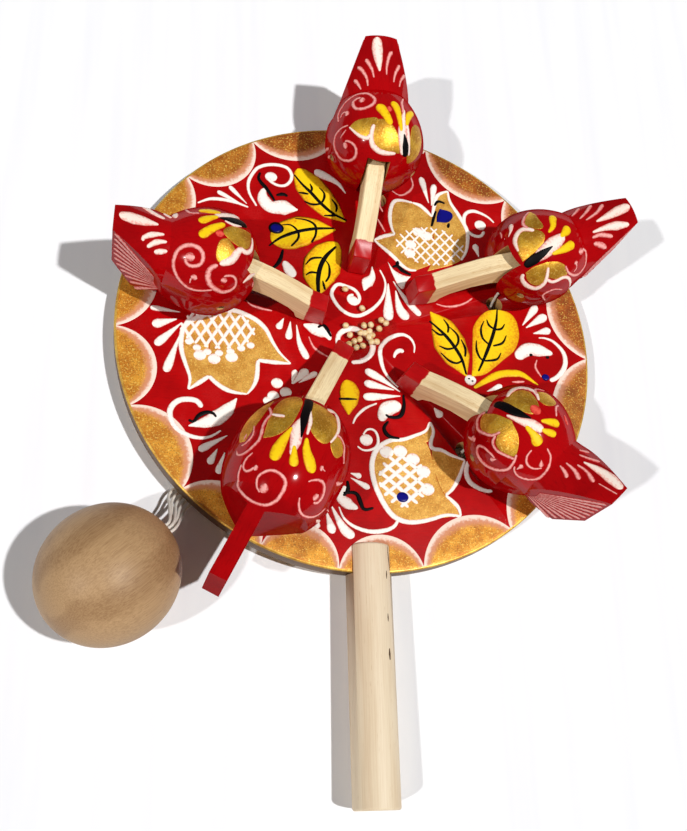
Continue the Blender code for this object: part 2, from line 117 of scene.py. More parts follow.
STRING_HOLE_X, STRING_HOLE_Y = 31.0, -5.8
STRING_HOLE_RADIUS = 2.9
STRING_Y = -5.0
STRING_DIAMETER = 1.0
BALL_DIAMETER = 39.0
BALL_LENGTH = 41.5
BALL_HOLE_RADIUS = 2.3
BALL_HOLE_DEPTH = 14.0
BALL_BEARING = math.radians(42.0)
BALL_LIFT = math.radians(-12.0)
GRAIN_RADIUS = 1.05

# The photograph's camera in the paddle's frame: place in millimetres, turn about X, Y and Z in degrees,
# focal length and long side in pixels; and the sensor's width in Blender's own millimetres
CAMERA_PLACE = (-77.1, -146.9, 298.5)
CAMERA_TURN = (21.345, -12.576, -1.623)
CAMERA_FOCUS = 1032.0
PHOTO_HEIGHT = 831.0
SENSOR = 36.0


class Hen(NamedTuple):
    """Sizes of one turned and sawn body, in millimetres and degrees, with the same names as in the solids."""

    diameter: float
    tail: float
    tip: float
    turn: float = 0.0
    side: float = 0.0
    shift: float = 0.0
    waist: float = 23.0
    root: float = 22.4
    stretch: float = 1.0
    fullness: float = 2.0
    knee: float = 0.0
    tail_side: float = 0.0

    @property
    def chest_length(self):
        """Way from the front of the chest to the widest part."""
        return CHEST_LENGTH * self.stretch

    @property
    def waist_place(self):
        """Way from the front of the chest to the waist."""
        return WAIST_FROM_CHEST * self.stretch

    @property
    def waist_x(self):
        """Where the waist stands behind the beak."""
        return BODY_FRONT_X + self.waist_place

    @property
    def tail_end_x(self):
        """Where the tail is sawn off upright: at the rear edge of the flare's top."""
        run = self.waist_place + self.tail - self.chest_length
        return (BODY_FRONT_X + self.chest_length + run * math.cos(BODY_TILT)
                - TAIL_DIAMETER / 2 * math.sin(BODY_TILT))


HENS = {
    "back": Hen(33.4, 18.0, 8.8, turn=8.5, waist=24.4, root=23.6),
    "right": Hen(32.0, 18.5, 7.6, turn=8.6, side=3.3),
    "front_right": Hen(34.6, 21.0, 3.4, turn=-8.7, side=1.8, shift=-1.2),
    "front_left": Hen(35.0, 30.0, 5.2, side=1.8, waist=26.0, root=27.0, stretch=1.3, fullness=3.0, knee=6.0,
                      tail_side=-1.8),
    "left": Hen(33.4, 17.5, 5.4, turn=9.3, side=-1.1, shift=-1.3),
}


# Frames

def affine(x_axis, y_axis, z_axis, origin):
    """A 4 x 4 that takes millimetres along three unit axes from an origin in metres to the row frame."""
    result = np.eye(4)
    for column, axis in enumerate((x_axis, y_axis, z_axis)):
        result[:3, column] = np.array(axis) * MM
    result[:3, 3] = origin
    return result


def paddle_affine():
    """The board's top in the row frame: its tilt is that of the handle's end face, its middle that of the
    board's box."""
    normal = np.array(frame["record"]["mounts"][0]["axis"])
    low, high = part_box("board")
    y_axis = -normal / np.linalg.norm(normal)
    z_axis = np.cross((1, 0, 0), y_axis)
    return affine((1, 0, 0), y_axis, z_axis, np.array((low + high) / 2) + z_axis * BOARD_THICKNESS / 2 * MM)


def hen_affine(name):
    """A hen's frame, from the place and direction of its neck's pin."""
    joint = next(j for j in frame["joints"] if j["name"] == "peck_" + name)
    y_axis, z_axis = np.array(joint["axis"]), PADDLE[:3, 2] / MM
    x_axis = np.cross(y_axis, z_axis)
    origin = np.array(joint["pos_m"]) - (x_axis * PIN_X + z_axis * PIN_Z) * MM
    return affine(x_axis, y_axis, z_axis, origin)


def ball_affine():
    """The ball's frame: +X along its axis, out of the hole."""
    low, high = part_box("ball")
    turn = Matrix.Rotation(BALL_BEARING, 3, "Z") @ Matrix.Rotation(-BALL_LIFT, 3, "Y")
    return affine(turn.col[0], turn.col[1], turn.col[2], (low + high) / 2)


def moved(x, y=0.0, z=0.0, angle=0.0, axis="Z"):
    """A 4 x 4 that turns about an axis, in radians, and then moves."""
    return np.array(Matrix.Translation((x, y, z)) @ Matrix.Rotation(angle, 4, axis))


def body_plan(hen):
    """Plan of the turned body in the hen's frame: turned about the middle of its widest part, and moved."""
    middle = BODY_FRONT_X + hen.chest_length
    return moved(middle + hen.shift, hen.side, angle=math.radians(hen.turn)) @ moved(-middle)


PADDLE = paddle_affine()
HEN_FRAMES = {name: hen_affine(name) for name in HENS}
BODY_FRAMES = {name: HEN_FRAMES[name] @ body_plan(hen) for name, hen in HENS.items()}
BALL = ball_affine()
MILLIMETRES = np.diag((MM, MM, MM, 1.0))


def in_row_frame(place, points):
    """Points in millimetres, any array of (..., 3), as metres in the row frame."""
    return np.asarray(points, float) @ place[:3, :3].T + place[:3, 3]


# Meshes

def grid_faces(rows, columns):
    """Quads of a grid of points numbered row by row, whose last column joins its first."""
    r, c = np.meshgrid(np.arange(rows - 1), np.arange(columns), indexing="ij")
    after = (c + 1) % columns
    corners = (r * columns + c, r * columns + after, (r + 1) * columns + after, (r + 1) * columns + c)
    return np.stack(corners, -1).reshape(-1, 4)


def write_place(mesh, local):
    """Keeps the local millimetres as the attribute "place", so that a pattern follows the piece."""
    if "place" in mesh.attributes:
        mesh.attributes.remove(mesh.attributes["place"])
    kept = mesh.attributes.new("place", "FLOAT_VECTOR", "POINT")
    kept.data.foreach_set("vector", local.astype(np.float32).ravel())


def link_piece(name, mesh, paint, sharp):
    """An object with one paint, smooth but for its edges of more than sharp degrees."""
    mesh.materials.clear()
    mesh.materials.append(paint)
    mesh.shade_smooth()
    mesh.set_sharp_from_angle(angle=math.radians(sharp))
    piece = bpy.data.objects.new(name, mesh)
    bpy.context.collection.objects.link(piece)
    return piece


def make_piece(name, place, grids, paint, body=None, sharp=40.0, brushes=None, replaces=()):
    """One object from several closed grids of points (rows, columns, 3) in a local frame.

    Equal points are merged, which closes seams and poles. brushes are grids of (along, across) for the UV map
    "brush". A piece without a body is a cutter or a string.
    """
    sizes = [grid.shape[0] * grid.shape[1] for grid in grids]
    starts = np.cumsum([0] + sizes)
    quads = [grid_faces(*grid.shape[:2]) for grid in grids]
    local = np.vstack([grid.reshape(-1, 3) for grid in grids])
    mesh = bpy.data.meshes.new(name)
    faces = np.vstack([own + start for own, start in zip(quads, starts)])
    mesh.from_pydata(in_row_frame(place, local).tolist(), [], faces.tolist())
    write_place(mesh, local)
    if brushes:
        corners = [brush.reshape(-1, 2)[own].reshape(-1, 2) for brush, own in zip(brushes, quads)]
        layer = mesh.uv_layers.new(name="brush")
        layer.data.foreach_set("uv", np.vstack(corners).astype(np.float32).ravel())
    shape = bmesh.new()
    shape.from_mesh(mesh)
    bmesh.ops.remove_doubles(shape, verts=shape.verts, dist=MERGE)
    bmesh.ops.dissolve_degenerate(shape, dist=1e-8, edges=shape.edges)
    bmesh.ops.recalc_face_normals(shape, faces=shape.faces)
    shape.to_mesh(mesh)
    shape.free()
    piece = link_piece(name, mesh, paint, sharp)
    if body:
        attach(piece, body)
    if replaces:
        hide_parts(*replaces)
    return piece


def carve(piece, cutter):
    """Takes a cutter out of a piece for good; the cut faces get the cutter's paint."""
    step = piece.modifiers.new("carve", "BOOLEAN")
    step.object, step.operation, step.solver = cutter, "DIFFERENCE", "EXACT"
    step.material_mode = "TRANSFER"
    bpy.context.view_layer.update()
    seen = piece.evaluated_get(bpy.context.evaluated_depsgraph_get())
    carved = bpy.data.meshes.new_from_object(seen)
    piece.modifiers.clear()
    piece.data = carved
    bpy.data.objects.remove(cutter)


def keep_place(piece, place):
    """Writes the attribute "place" from the vertices, for a mesh that was carved or carried over."""
    world = np.empty(len(piece.data.vertices) * 3)
    piece.data.vertices.foreach_get("co", world)
    write_place(piece.data, (world.reshape(-1, 3) - place[:3, 3]) @ np.linalg.inv(place[:3, :3]).T)


def circle(steps):
    """Even angles once round."""
    return np.arange(steps) * 2 * math.pi / steps


def prism_grid(outline, low, high):
    """A plan outline carried from low to high and closed to its middle at both ends, as one grid."""
    outline = np.array(outline, float)
    middle = np.repeat(outline.mean(axis=0)[None], len(outline), axis=0)
    rows = ((middle, low), (outline, low), (outline, high), (middle, high))
    return np.array([np.column_stack([line, np.full(len(line), z)]) for line, z in rows])


def box_grid(low, high):
    """A box between two corners: the prism on its rectangle."""
    (x, y, z), (far_x, far_y, top) = low, high
    return prism_grid([(x, y), (far_x, y), (far_x, far_y), (x, far_y)], z, top)


def lathe_grid(profile, turns):
    """A profile of (along, radius) turned round +X: each point becomes a ring of equal steps."""
    profile = np.array(profile, float)
    angle = circle(turns)
    along = np.repeat(profile[:, :1], turns, axis=1)
    return np.stack([along, profile[:, 1:] * np.cos(angle), profile[:, 1:] * np.sin(angle)], -1)


def disc_grid(profile, turns):
    """A profile of (height, radius) turned round +Z."""
    return lathe_grid(profile, turns)[..., (1, 2, 0)]


def rounded_corner(radius, rounding, steps):
    """A quarter circle between an end face and a turned side, as (depth behind the face, radius)."""
    bend = np.linspace(0, math.pi / 2, steps)
    return [(rounding * (1 - math.cos(t)), radius - rounding * (1 - math.sin(t))) for t in bend]


FINE_STEPS = 24


def fine_line(points):
    """A finely divided curve through the points, and the way along it: a cubic whose lean at each point is
    that of its neighbours."""
    route = np.array(points, float)
    padded = np.vstack([2 * route[0] - route[1], route, 2 * route[-1] - route[-2]])
    leans = padded[2:] - padded[:-2]
    leans /= np.maximum(np.linalg.norm(leans, axis=1), 1e-9)[:, None]
    t = np.linspace(0, 1, FINE_STEPS, endpoint=False)[:, None]
    fine = []
    for a, b, lean_a, lean_b in zip(route, route[1:], leans, leans[1:]):
        reach = np.linalg.norm(b - a)
        fine.append((2 * t ** 3 - 3 * t ** 2 + 1) * a + (t ** 3 - 2 * t ** 2 + t) * reach * lean_a
                    + (3 * t ** 2 - 2 * t ** 3) * b + (t ** 3 - t ** 2) * reach * lean_b)
    line = np.vstack(fine + [route[-1:]])
    return line, np.concatenate([[0], np.cumsum(np.linalg.norm(np.diff(line, axis=0), axis=1))])


def at_places(line, along, places):
    """Points of a line at given ways along it."""
    return np.column_stack([np.interp(places, along, line[:, k]) for k in range(line.shape[1])])


# Shader helpers

def rgb(red, green, blue):
    """An sRGB colour of 0 to 255 as the linear colour that Blender's sockets take."""
    value = np.array((red, green, blue)) / 255
    return (*np.where(value <= 0.04045, value / 12.92, ((value + 0.055) / 1.055) ** 2.4).tolist(), 1.0)


class Value(NamedTuple):
    """An output socket in a tree. Arithmetic on it adds Math nodes."""

    tree: object
    socket: object

    def __add__(self, other):
        return self.tree.math("ADD", self, other)

    def __sub__(self, other):
        return self.tree.math("SUBTRACT", self, other)

    def __rsub__(self, other):
        return self.tree.math("SUBTRACT", other, self)

    def __mul__(self, other):
        return self.tree.math("MULTIPLY", self, other)


class Tree:
    """Short ways to add and join shader nodes in one node tree."""

    def __init__(self, tree):
        self.tree = tree

    def add(self, kind, inputs=None, **settings):
        """A new node, with its settings, and its inputs joined or set."""
        node = self.tree.nodes.new("ShaderNode" + kind)
        for key, value in settings.items():
            setattr(node, key, value)
        for key, value in (inputs or {}).items():
            self.set(node.inputs[key], value)
        return node

    def set(self, socket, value):
        """Joins a value to a socket, or writes a plain number or colour into it."""
        if isinstance(value, Value):
            self.tree.links.new(value.socket, socket)
        else:
            socket.default_value = value

    def result(self, node, output=0):
        """One output of a node."""
        return Value(self, node.outputs[output])

    def math(self, operation, a, b=0.0, clamp=False):
        """A Math node."""
        return self.result(self.add("Math", {0: a, 1: b}, operation=operation, use_clamp=clamp))

    def mix(self, factor, a, b):
        """Colour a turning into colour b as the factor goes from 0 to 1."""
        node = self.add("Mix", {"Factor": factor}, data_type="RGBA")
        self.set(node.inputs["A"], a)
        self.set(node.inputs["B"], b)
        return self.result(node, "Result")

    def ramp(self, value, low, high, start=0.0, end=1.0):
        """A smooth step from start to end while the value goes from low to high."""
        limits = {"Value": value, "From Min": low, "From Max": high, "To Min": start, "To Max": end}
        return self.result(self.add("MapRange", limits, interpolation_type="SMOOTHSTEP"), "Result")

    def noise(self, vector, scale, detail=3.0, roughness=0.55):
        """Noise of about 0.3 to 0.7 whose spots are 1 / scale of the vector's unit."""
        inputs = {"Vector": vector, "Scale": scale, "Detail": detail, "Roughness": roughness}
        return self.result(self.add("TexNoise", inputs), "Fac")

    def stretch(self, vector, scale=(1, 1, 1), turn=(0, 0, 0)):
        """A vector scaled along its axes and turned."""
        node = self.add("Mapping", {"Vector": vector, "Scale": scale, "Rotation": turn})
        return self.result(node, "Vector")

    def split(self, vector):
        """X, Y and Z of a vector."""
        node = self.add("SeparateXYZ", {"Vector": vector})
        return [self.result(node, axis) for axis in "XYZ"]

    def place(self):
        """The piece's local millimetres."""
        return self.result(self.add("Attribute", attribute_name="place"), "Vector")

    def across(self):
        """The way across a stroke or a half-moon, from the UV map "brush"."""
        return self.split(self.result(self.add("UVMap", uv_map="brush"), "UV"))[1]

    def use(self, group, inputs):
        """A node group's results, by name."""
        node = self.tree.nodes.new("ShaderNodeGroup")
        node.node_tree = group
        for key, value in inputs.items():
            self.set(node.inputs[key], value)
        return {socket.name: Value(self, socket) for socket in node.outputs}


VECTOR, COLOUR, NUMBER = "NodeSocketVector", "NodeSocketColor", "NodeSocketFloat"
RESULTS = {"Color": COLOUR, "Roughness": NUMBER, "Height": NUMBER}


def group(name, inputs):
    """A new node group: its tree helper and its inputs by name."""
    t = Tree(bpy.data.node_groups.new(name, "ShaderNodeTree"))
    for label, kind in inputs.items():
        t.tree.interface.new_socket(label, in_out="INPUT", socket_type=kind)
    source = t.tree.nodes.new("NodeGroupInput")
    return t, {label: t.result(source, label) for label in inputs}


def give(t, results):
    """Joins the results to the group's outputs, and returns the finished group."""
    for label in results:
        t.tree.interface.new_socket(label, in_out="OUTPUT", socket_type=RESULTS[label])
    sink = t.tree.nodes.new("NodeGroupOutput")
    for label, value in results.items():
        t.set(sink.inputs[label], value)
    return t.tree


def wood_group():
    """Wood: fine fibres, pores and slow growth bands, stretched along X of the vector in millimetres."""
    t, given = group("wood", {"Vector": VECTOR, "Light": COLOUR, "Dark": COLOUR, "Band": NUMBER,
                              "Contrast": NUMBER})
    fibre = t.noise(t.stretch(given["Vector"], (0.05, 2.6, 2.6)), 1.0, 4.0, 0.65)
    pore = t.noise(t.stretch(given["Vector"], (0.22, 5.0, 5.0)), 1.0, 2.0, 0.5)
    drift = t.noise(t.stretch(given["Vector"], (0.012, 0.12, 0.12)), 1.0, 2.0, 0.5)
    _, y, z = t.split(given["Vector"])
    bands = t.ramp(t.math("SINE", (y + z * 0.35 + drift * 16.0) * given["Band"]), -0.2, 1.0)
    dark_pores = t.ramp(pore, 0.66, 0.74)
    dark = bands * 0.45 + t.ramp(fibre, 0.35, 0.7) * 0.55 + dark_pores
    mask = t.math("MULTIPLY", dark, given["Contrast"], clamp=True)
    return give(t, {"Color": t.mix(mask, given["Light"], given["Dark"]),
                    "Height": fibre * 0.6 - dark_pores * 0.4})


def gilding_group():
    """Gold paint: stippled by the brush, with dark pits and bright flakes; the flakes' bright colour is a
    painted glint.
    """
    t, given = group("gilding", {"Vector": VECTOR, "Bright": COLOUR, "Deep": COLOUR, "Wear": NUMBER})
    stipple = t.noise(given["Vector"], 1.5, 3.0, 0.75)
    grit = t.noise(given["Vector"], 2.6, 2.0, 0.6)
    cloud = t.noise(given["Vector"], 0.22, 2.0, 0.5)
    base = t.mix(t.ramp(cloud, 0.35, 0.68), given["Deep"], given["Bright"])
    pitted = t.mix(t.ramp(grit, 0.54, 0.64) * given["Wear"], base, rgb(96, 48, 10))
    # Painted glints: bright gold specks where the paint's flakes would sparkle in the light
    glinting_flakes = t.mix(t.ramp(stipple, 0.56, 0.62) * 0.75, pitted, rgb(255, 216, 104))
    return give(t, {"Color": glinting_flakes, "Roughness": grit * 0.25 + 0.34, "Height": stipple + grit * 0.6})


def lacquer_group():
    """Brushed lacquer: slow darker clouds, fine streaks, dust specks and a faintly uneven skin."""
    t, given = group("lacquer", {"Vector": VECTOR, "Colour": COLOUR, "Shade": COLOUR, "Worn": COLOUR,
                                 "Wear": NUMBER})
    cloud = t.noise(given["Vector"], 0.05, 3.0, 0.6)
    streak = t.noise(t.stretch(given["Vector"], (0.25, 1.6, 1.6)), 1.0, 3.0, 0.6)
    dust = t.noise(given["Vector"], 3.2, 2.0, 0.5)
    clouded = t.mix(t.ramp(cloud, 0.42, 0.66) * 0.5, given["Colour"], given["Shade"])
    streaked = t.mix(t.ramp(streak, 0.45, 0.75) * 0.35, clouded, given["Shade"])
    rubbed = t.ramp(cloud, 0.45, 0.36) * t.ramp(dust, 0.42, 0.6) * given["Wear"]
    return give(t, {"Color": t.mix(rubbed, streaked, given["Worn"]), "Roughness": dust * 0.14 + 0.16,
                    "Height": streak * 0.5 + dust * 0.35})


def brushwork_group():
    """One brush stroke: full colour down its middle, thin at its edges and where the hairs part."""
    t, given = group("brushwork", {"Vector": VECTOR, "Across": NUMBER, "Full": COLOUR, "Thin": COLOUR,
                                   "Load": NUMBER})
    off = t.math("ABSOLUTE", given["Across"] * 2.0 - 1.0)
    hairs = t.noise(given["Vector"], 1.3, 3.0, 0.6)
    grain = t.noise(given["Vector"], 4.0, 2.0, 0.6)
    thin = off * 0.75 + (hairs - 0.5) * 1.3 + 0.15 - given["Load"]
    return give(t, {"Color": t.mix(t.ramp(thin, 0.0, 0.75), given["Full"], given["Thin"]),
                    "Height": hairs + grain * 0.5})


WOOD, GILDING, LACQUER, BRUSHWORK = wood_group(), gilding_group(), lacquer_group(), brushwork_group()


# Paints, woods and string

def material(name, values=None):
    """A new Principled material with plain socket values; returns it, its tree helper and its shader."""
    made = bpy.data.materials.new(name)
    made.use_nodes = True
    shader = made.node_tree.nodes["Principled BSDF"]
    for key, value in (values or {}).items():
        shader.inputs[key].default_value = value
    return made, Tree(made.node_tree), shader


def finish_surface(t, shader, results, relief, strength=0.4):
    """Joins colour, roughness and height to the shader; relief is the height's depth in millimetres."""
    t.set(shader.inputs["Base Color"], results["Color"])
    if "Roughness" in results:
        t.set(shader.inputs["Roughness"], results["Roughness"])
    bump = t.add("Bump", {"Height": results["Height"], "Distance": relief * MM, "Strength": strength})
    t.set(shader.inputs["Normal"], t.result(bump, "Normal"))


RED, RED_SHADE, RED_WORN = rgb(182, 6, 9), rgb(138, 2, 5), rgb(206, 62, 62)
# How the necks' fibres lean, and how far behind the head its red is still full and where it ends
NECK_LEAN = math.radians(28)
RED_FULL, RED_END = 0.55, 0.9


def wood_material(name, light, dark, band, contrast):
    """Bare wood along the piece's own X."""
    made, t, shader = material(name, {"Roughness": 0.5, "Specular IOR Level": 0.35})
    wood = t.use(WOOD, {"Vector": t.place(), "Light": light, "Dark": dark, "Band": band,
                        "Contrast": contrast})
    finish_surface(t, shader, wood, 0.08)
    return made


def hen_lacquer():
    """The hens' lacquer. Its coat shines where it faces the eye and dies away towards the outline, so that
    the pale room doesn't whiten the red there."""
    made, t, shader = material("hen_lacquer", {"Coat Roughness": 0.1, "Specular IOR Level": 0.0})
    facing = t.result(t.add("LayerWeight"), "Facing")
    t.set(shader.inputs["Coat Weight"], t.ramp(facing, 0.45, 0.85, 0.6, 0.02))
    lacquer = t.use(LACQUER, {"Vector": t.place(), "Colour": rgb(174, 3, 8), "Shade": rgb(124, 0, 4),
                              "Worn": RED_WORN, "Wear": 0.0})
    finish_surface(t, shader, lacquer, 0.08)
    return made


def board_paint():
    """Red lacquer on the board's top, gilding on its rim, an upright edge in painted shade of dark brown, and
    bare wood below, told apart by place."""
    made, t, shader = material("board_paint", {"Coat Weight": 0.15, "Coat Roughness": 0.18,
                                               "Specular IOR Level": 0.2})
    place = t.place()
    lacquer = t.use(LACQUER, {"Vector": place, "Colour": RED, "Shade": RED_SHADE, "Worn": RED_WORN,
                              "Wear": 0.2})
    gold = t.use(GILDING, {"Vector": place, "Bright": rgb(240, 196, 90), "Deep": rgb(206, 150, 60),
                           "Wear": 0.3})
    wood = t.use(WOOD, {"Vector": place, "Light": rgb(222, 190, 142), "Dark": rgb(168, 124, 78), "Band": 0.5,
                        "Contrast": 0.7})
    x, y, z = t.split(place)
    flat, under = BOARD_RADIUS - BOARD_EDGE, BOARD_EDGE - BOARD_THICKNESS
    rim = t.ramp(t.math("SQRT", x * x + y * y), flat - 0.25, flat - 0.1)
    below = t.ramp(z, under + 0.1, under - 0.2)
    # Painted shade: the gilded upright edge turns dark brown below its top, as a side turned away from the
    # high lamps
    edge = t.mix(t.ramp(z, -0.2, -0.7), gold["Color"], rgb(96, 66, 36))
    painted = t.mix(rim, lacquer["Color"], edge)
    finish_surface(t, shader, {"Color": t.mix(below, painted, wood["Color"]), "Height": lacquer["Height"],
                               "Roughness": lacquer["Roughness"] + rim * 0.25}, 0.04)
    t.set(shader.inputs["Metallic"], rim * t.math("SUBTRACT", 0.55, below, clamp=True))
    return made


def gold_paint(name, bright, deep, metal):
    """Gold paint in two tones, more or less like metal."""
    made, t, shader = material(name, {"Metallic": metal})
    gold = t.use(GILDING, {"Vector": t.place(), "Bright": bright, "Deep": deep, "Wear": 0.35})
    finish_surface(t, shader, gold, 0.07, 0.7)
    return made


def scallop_paint():
    """A half-moon of the rim: white at its inner edge, drawn out dry through flesh pink into gold, which is
    browner towards the board's far right as painted shade, and brighter towards the near left as painted
    light."""
    made, t, shader = material("scallop_paint")
    place = t.place()
    x, y, _ = t.split(place)
    # Painted shade and light: the gold is made browner towards the board's far right, brighter towards the
    # near left
    far = t.ramp(y * 0.8 + x * 0.6, -30.0, 60.0)
    gold = t.use(GILDING, {"Vector": place, "Bright": t.mix(far, rgb(236, 166, 52), rgb(196, 108, 34)),
                           "Deep": t.mix(far, rgb(202, 126, 30), rgb(156, 76, 22)), "Wear": 0.55})
    inner = t.across() + (t.noise(place, 0.9, 3.0, 0.65) - 0.5) * 2.6
    flesh = t.mix(t.ramp(inner, 2.2, 4.8), rgb(214, 142, 104), gold["Color"])
    colour = t.mix(t.ramp(inner, 0.9, 2.4), rgb(250, 226, 208), flesh)
    finish_surface(t, shader, {**gold, "Color": colour}, 0.06, 0.6)
    t.set(shader.inputs["Metallic"], t.ramp(inner, 2.5, 5.0, 0.0, 0.3))
    return made


def stroke_paint(name, full, thin, load, roughness=0.42):
    """Paint for brush strokes: its full and its thin colour, and how well the brush is loaded."""
    made, t, shader = material(name, {"Roughness": roughness, "Specular IOR Level": 0.1})
    work = t.use(BRUSHWORK, {"Vector": t.place(), "Across": t.across(), "Full": full, "Thin": thin,
                             "Load": load})
    finish_surface(t, shader, work, 0.03)
    return made


def neck_paint():
    """Bare sawn wood with a red head: red from the beak to just behind the brow, with a brushed edge."""
    made, t, shader = material("neck_wood", {"Roughness": 0.5, "Specular IOR Level": 0.4})
    place = t.place()
    wood = t.use(WOOD, {"Vector": t.stretch(place, turn=(0, NECK_LEAN, 0)), "Band": 0.9,
                        "Light": rgb(250, 228, 182), "Dark": rgb(206, 164, 108), "Contrast": 0.75})
    edge = t.split(place)[0] + t.noise(place, 0.5) * 1.4
    red = t.ramp(edge, HEAD_LENGTH + RED_END, HEAD_LENGTH + RED_FULL)
    lacquer = t.use(LACQUER, {"Vector": place, "Colour": rgb(196, 8, 14), "Shade": RED_SHADE,
                              "Worn": RED_WORN, "Wear": 0.3})
    finish_surface(t, shader, {"Color": t.mix(red, wood["Color"], lacquer["Color"]),
                               "Height": wood["Height"], "Roughness": 0.52 - red * 0.2}, 0.07)
    return made


def grain_skin():
    """Millet: pale and ochre patches under a dull gloss."""
    made, t, shader = material("grain_skin", {"Roughness": 0.35, "Subsurface Weight": 0.15,
                                              "Coat Weight": 0.3})
    place = t.place()
    colour = t.mix(t.ramp(t.noise(place, 0.6), 0.35, 0.65), rgb(250, 222, 170), rgb(232, 184, 116))
    finish_surface(t, shader, {"Color": colour, "Height": t.noise(place, 3.0)}, 0.05)
    return made


def glue_film():
    """Dried glue, nearly clear, that keeps a little of the red below."""
    made, t, shader = material("glue_film", {"Roughness": 0.12, "Alpha": 0.08})
    place = t.place()
    colour = t.mix(t.ramp(t.noise(place, 0.35), 0.4, 0.6), rgb(150, 10, 10), rgb(190, 70, 50))
    finish_surface(t, shader, {"Color": colour, "Height": t.noise(place, 0.8)}, 0.1)
    return made


def cotton():
    """Cotton in uneven pale fibres; the plies and their grooves are in the mesh."""
    made, t, shader = material("cotton", {"Roughness": 0.9, "Sheen Weight": 0.3})
    fibre = t.noise(t.stretch(t.place(), (3, 3, 3)), 1.5, 3.0, 0.6)
    colour = t.mix(t.ramp(fibre, 0.35, 0.65), rgb(216, 206, 190), rgb(250, 246, 236))
    finish_surface(t, shader, {"Color": colour, "Height": fibre}, 0.05)
    return made


def steel_wire():
    """Drawn wire, with fine marks along its length."""
    made, t, shader = material("steel_wire", {"Metallic": 1.0})
    drawn = t.noise(t.stretch(t.place(), (8, 0.6, 8)), 1.0)
    colour = t.mix(t.ramp(drawn, 0.4, 0.7), rgb(178, 180, 184), rgb(140, 142, 146))
    finish_surface(t, shader, {"Color": colour, "Height": drawn, "Roughness": drawn + 0.25}, 0.02)
    return made


PAINT = {
    "hen": hen_lacquer(),
    "board": board_paint(),
    "gold": gold_paint("gold_paint", rgb(246, 192, 60), rgb(206, 144, 38), 0.7),
    "gilt": gold_paint("gilt_paint", rgb(238, 182, 84), rgb(212, 148, 54), 0.3),
    "scallop": scallop_paint(),
    "white": stroke_paint("white_paint", rgb(255, 250, 240), rgb(236, 170, 158), 0.42),
    "cream": stroke_paint("cream_paint", rgb(254, 236, 222), rgb(238, 146, 134), 0.3),
    "pink": stroke_paint("pink_paint", rgb(246, 176, 168), rgb(196, 60, 60), 0.18),
    "dab": stroke_paint("dab_paint", rgb(236, 92, 76), rgb(196, 30, 26), 0.2),
    "yellow": stroke_paint("yellow_paint", rgb(250, 208, 22), rgb(222, 140, 20), 0.35),
    # Dark lines on the handle: painted shade in the split's gap, and the wood's own dark marks
    "crack": stroke_paint("split_shade_and_wood_marks", rgb(60, 36, 20), rgb(110, 76, 44), 0.4, 0.9),
    "black": stroke_paint("black_paint", rgb(8, 6, 8), rgb(50, 4, 6), 0.6, 0.5),
    "blue": stroke_paint("blue_paint", rgb(18, 18, 120), rgb(10, 8, 40), 0.5, 0.3),
    "neck": neck_paint(),
    "grain": grain_skin(),
    "glue": glue_film(),
    "cotton": cotton(),
    "wire": steel_wire(),
    "handle": wood_material("handle_wood", rgb(232, 214, 184), rgb(204, 174, 136), 0.55, 0.6),
    "ball": wood_material("ball_wood", rgb(184, 148, 106), rgb(138, 102, 66), 0.34, 0.85),
    "bare": wood_material("bare_wood", rgb(214, 170, 110), rgb(160, 108, 56), 0.7, 0.7),
}


# Camera, light and table

def make_camera():
    """The photograph's view, settled from the board's outline; the long side of the frame sets the lens."""
    data = bpy.data.cameras.new("camera")
    data.sensor_width, data.lens = SENSOR, CAMERA_FOCUS / PHOTO_HEIGHT * SENSOR
    data.clip_start, data.clip_end = 0.01, 20
    camera = bpy.data.objects.new("camera", data)
    bpy.context.collection.objects.link(camera)
    turn = Matrix((PADDLE[:3, :3] / MM).tolist())
    for axis, angle in zip("ZYX", reversed(CAMERA_TURN)):
        turn = turn @ Matrix.Rotation(math.radians(angle), 3, axis)
    camera.matrix_world = Matrix.Translation(in_row_frame(PADDLE, CAMERA_PLACE)) @ turn.to_4x4()
    bpy.context.scene.camera = camera


def make_sun(name, bearing, height, strength, softness):
    """A distant lamp that stands at a bearing from +X and a height above the table, both in degrees."""
    data = bpy.data.lights.new(name, "SUN")
    data.energy, data.angle = strength, math.radians(softness)
    lamp = bpy.data.objects.new(name, data)
    bpy.context.collection.objects.link(lamp)
    b, h = math.radians(bearing), math.radians(height)
    towards = Vector((math.cos(b) * math.cos(h), math.sin(b) * math.cos(h), math.sin(h)))
    lamp.rotation_mode = "QUATERNION"
    lamp.rotation_quaternion = towards.to_track_quat("Z", "Y")


TABLE_HALF = 3.0
SURROUND_LIGHT = 0.08


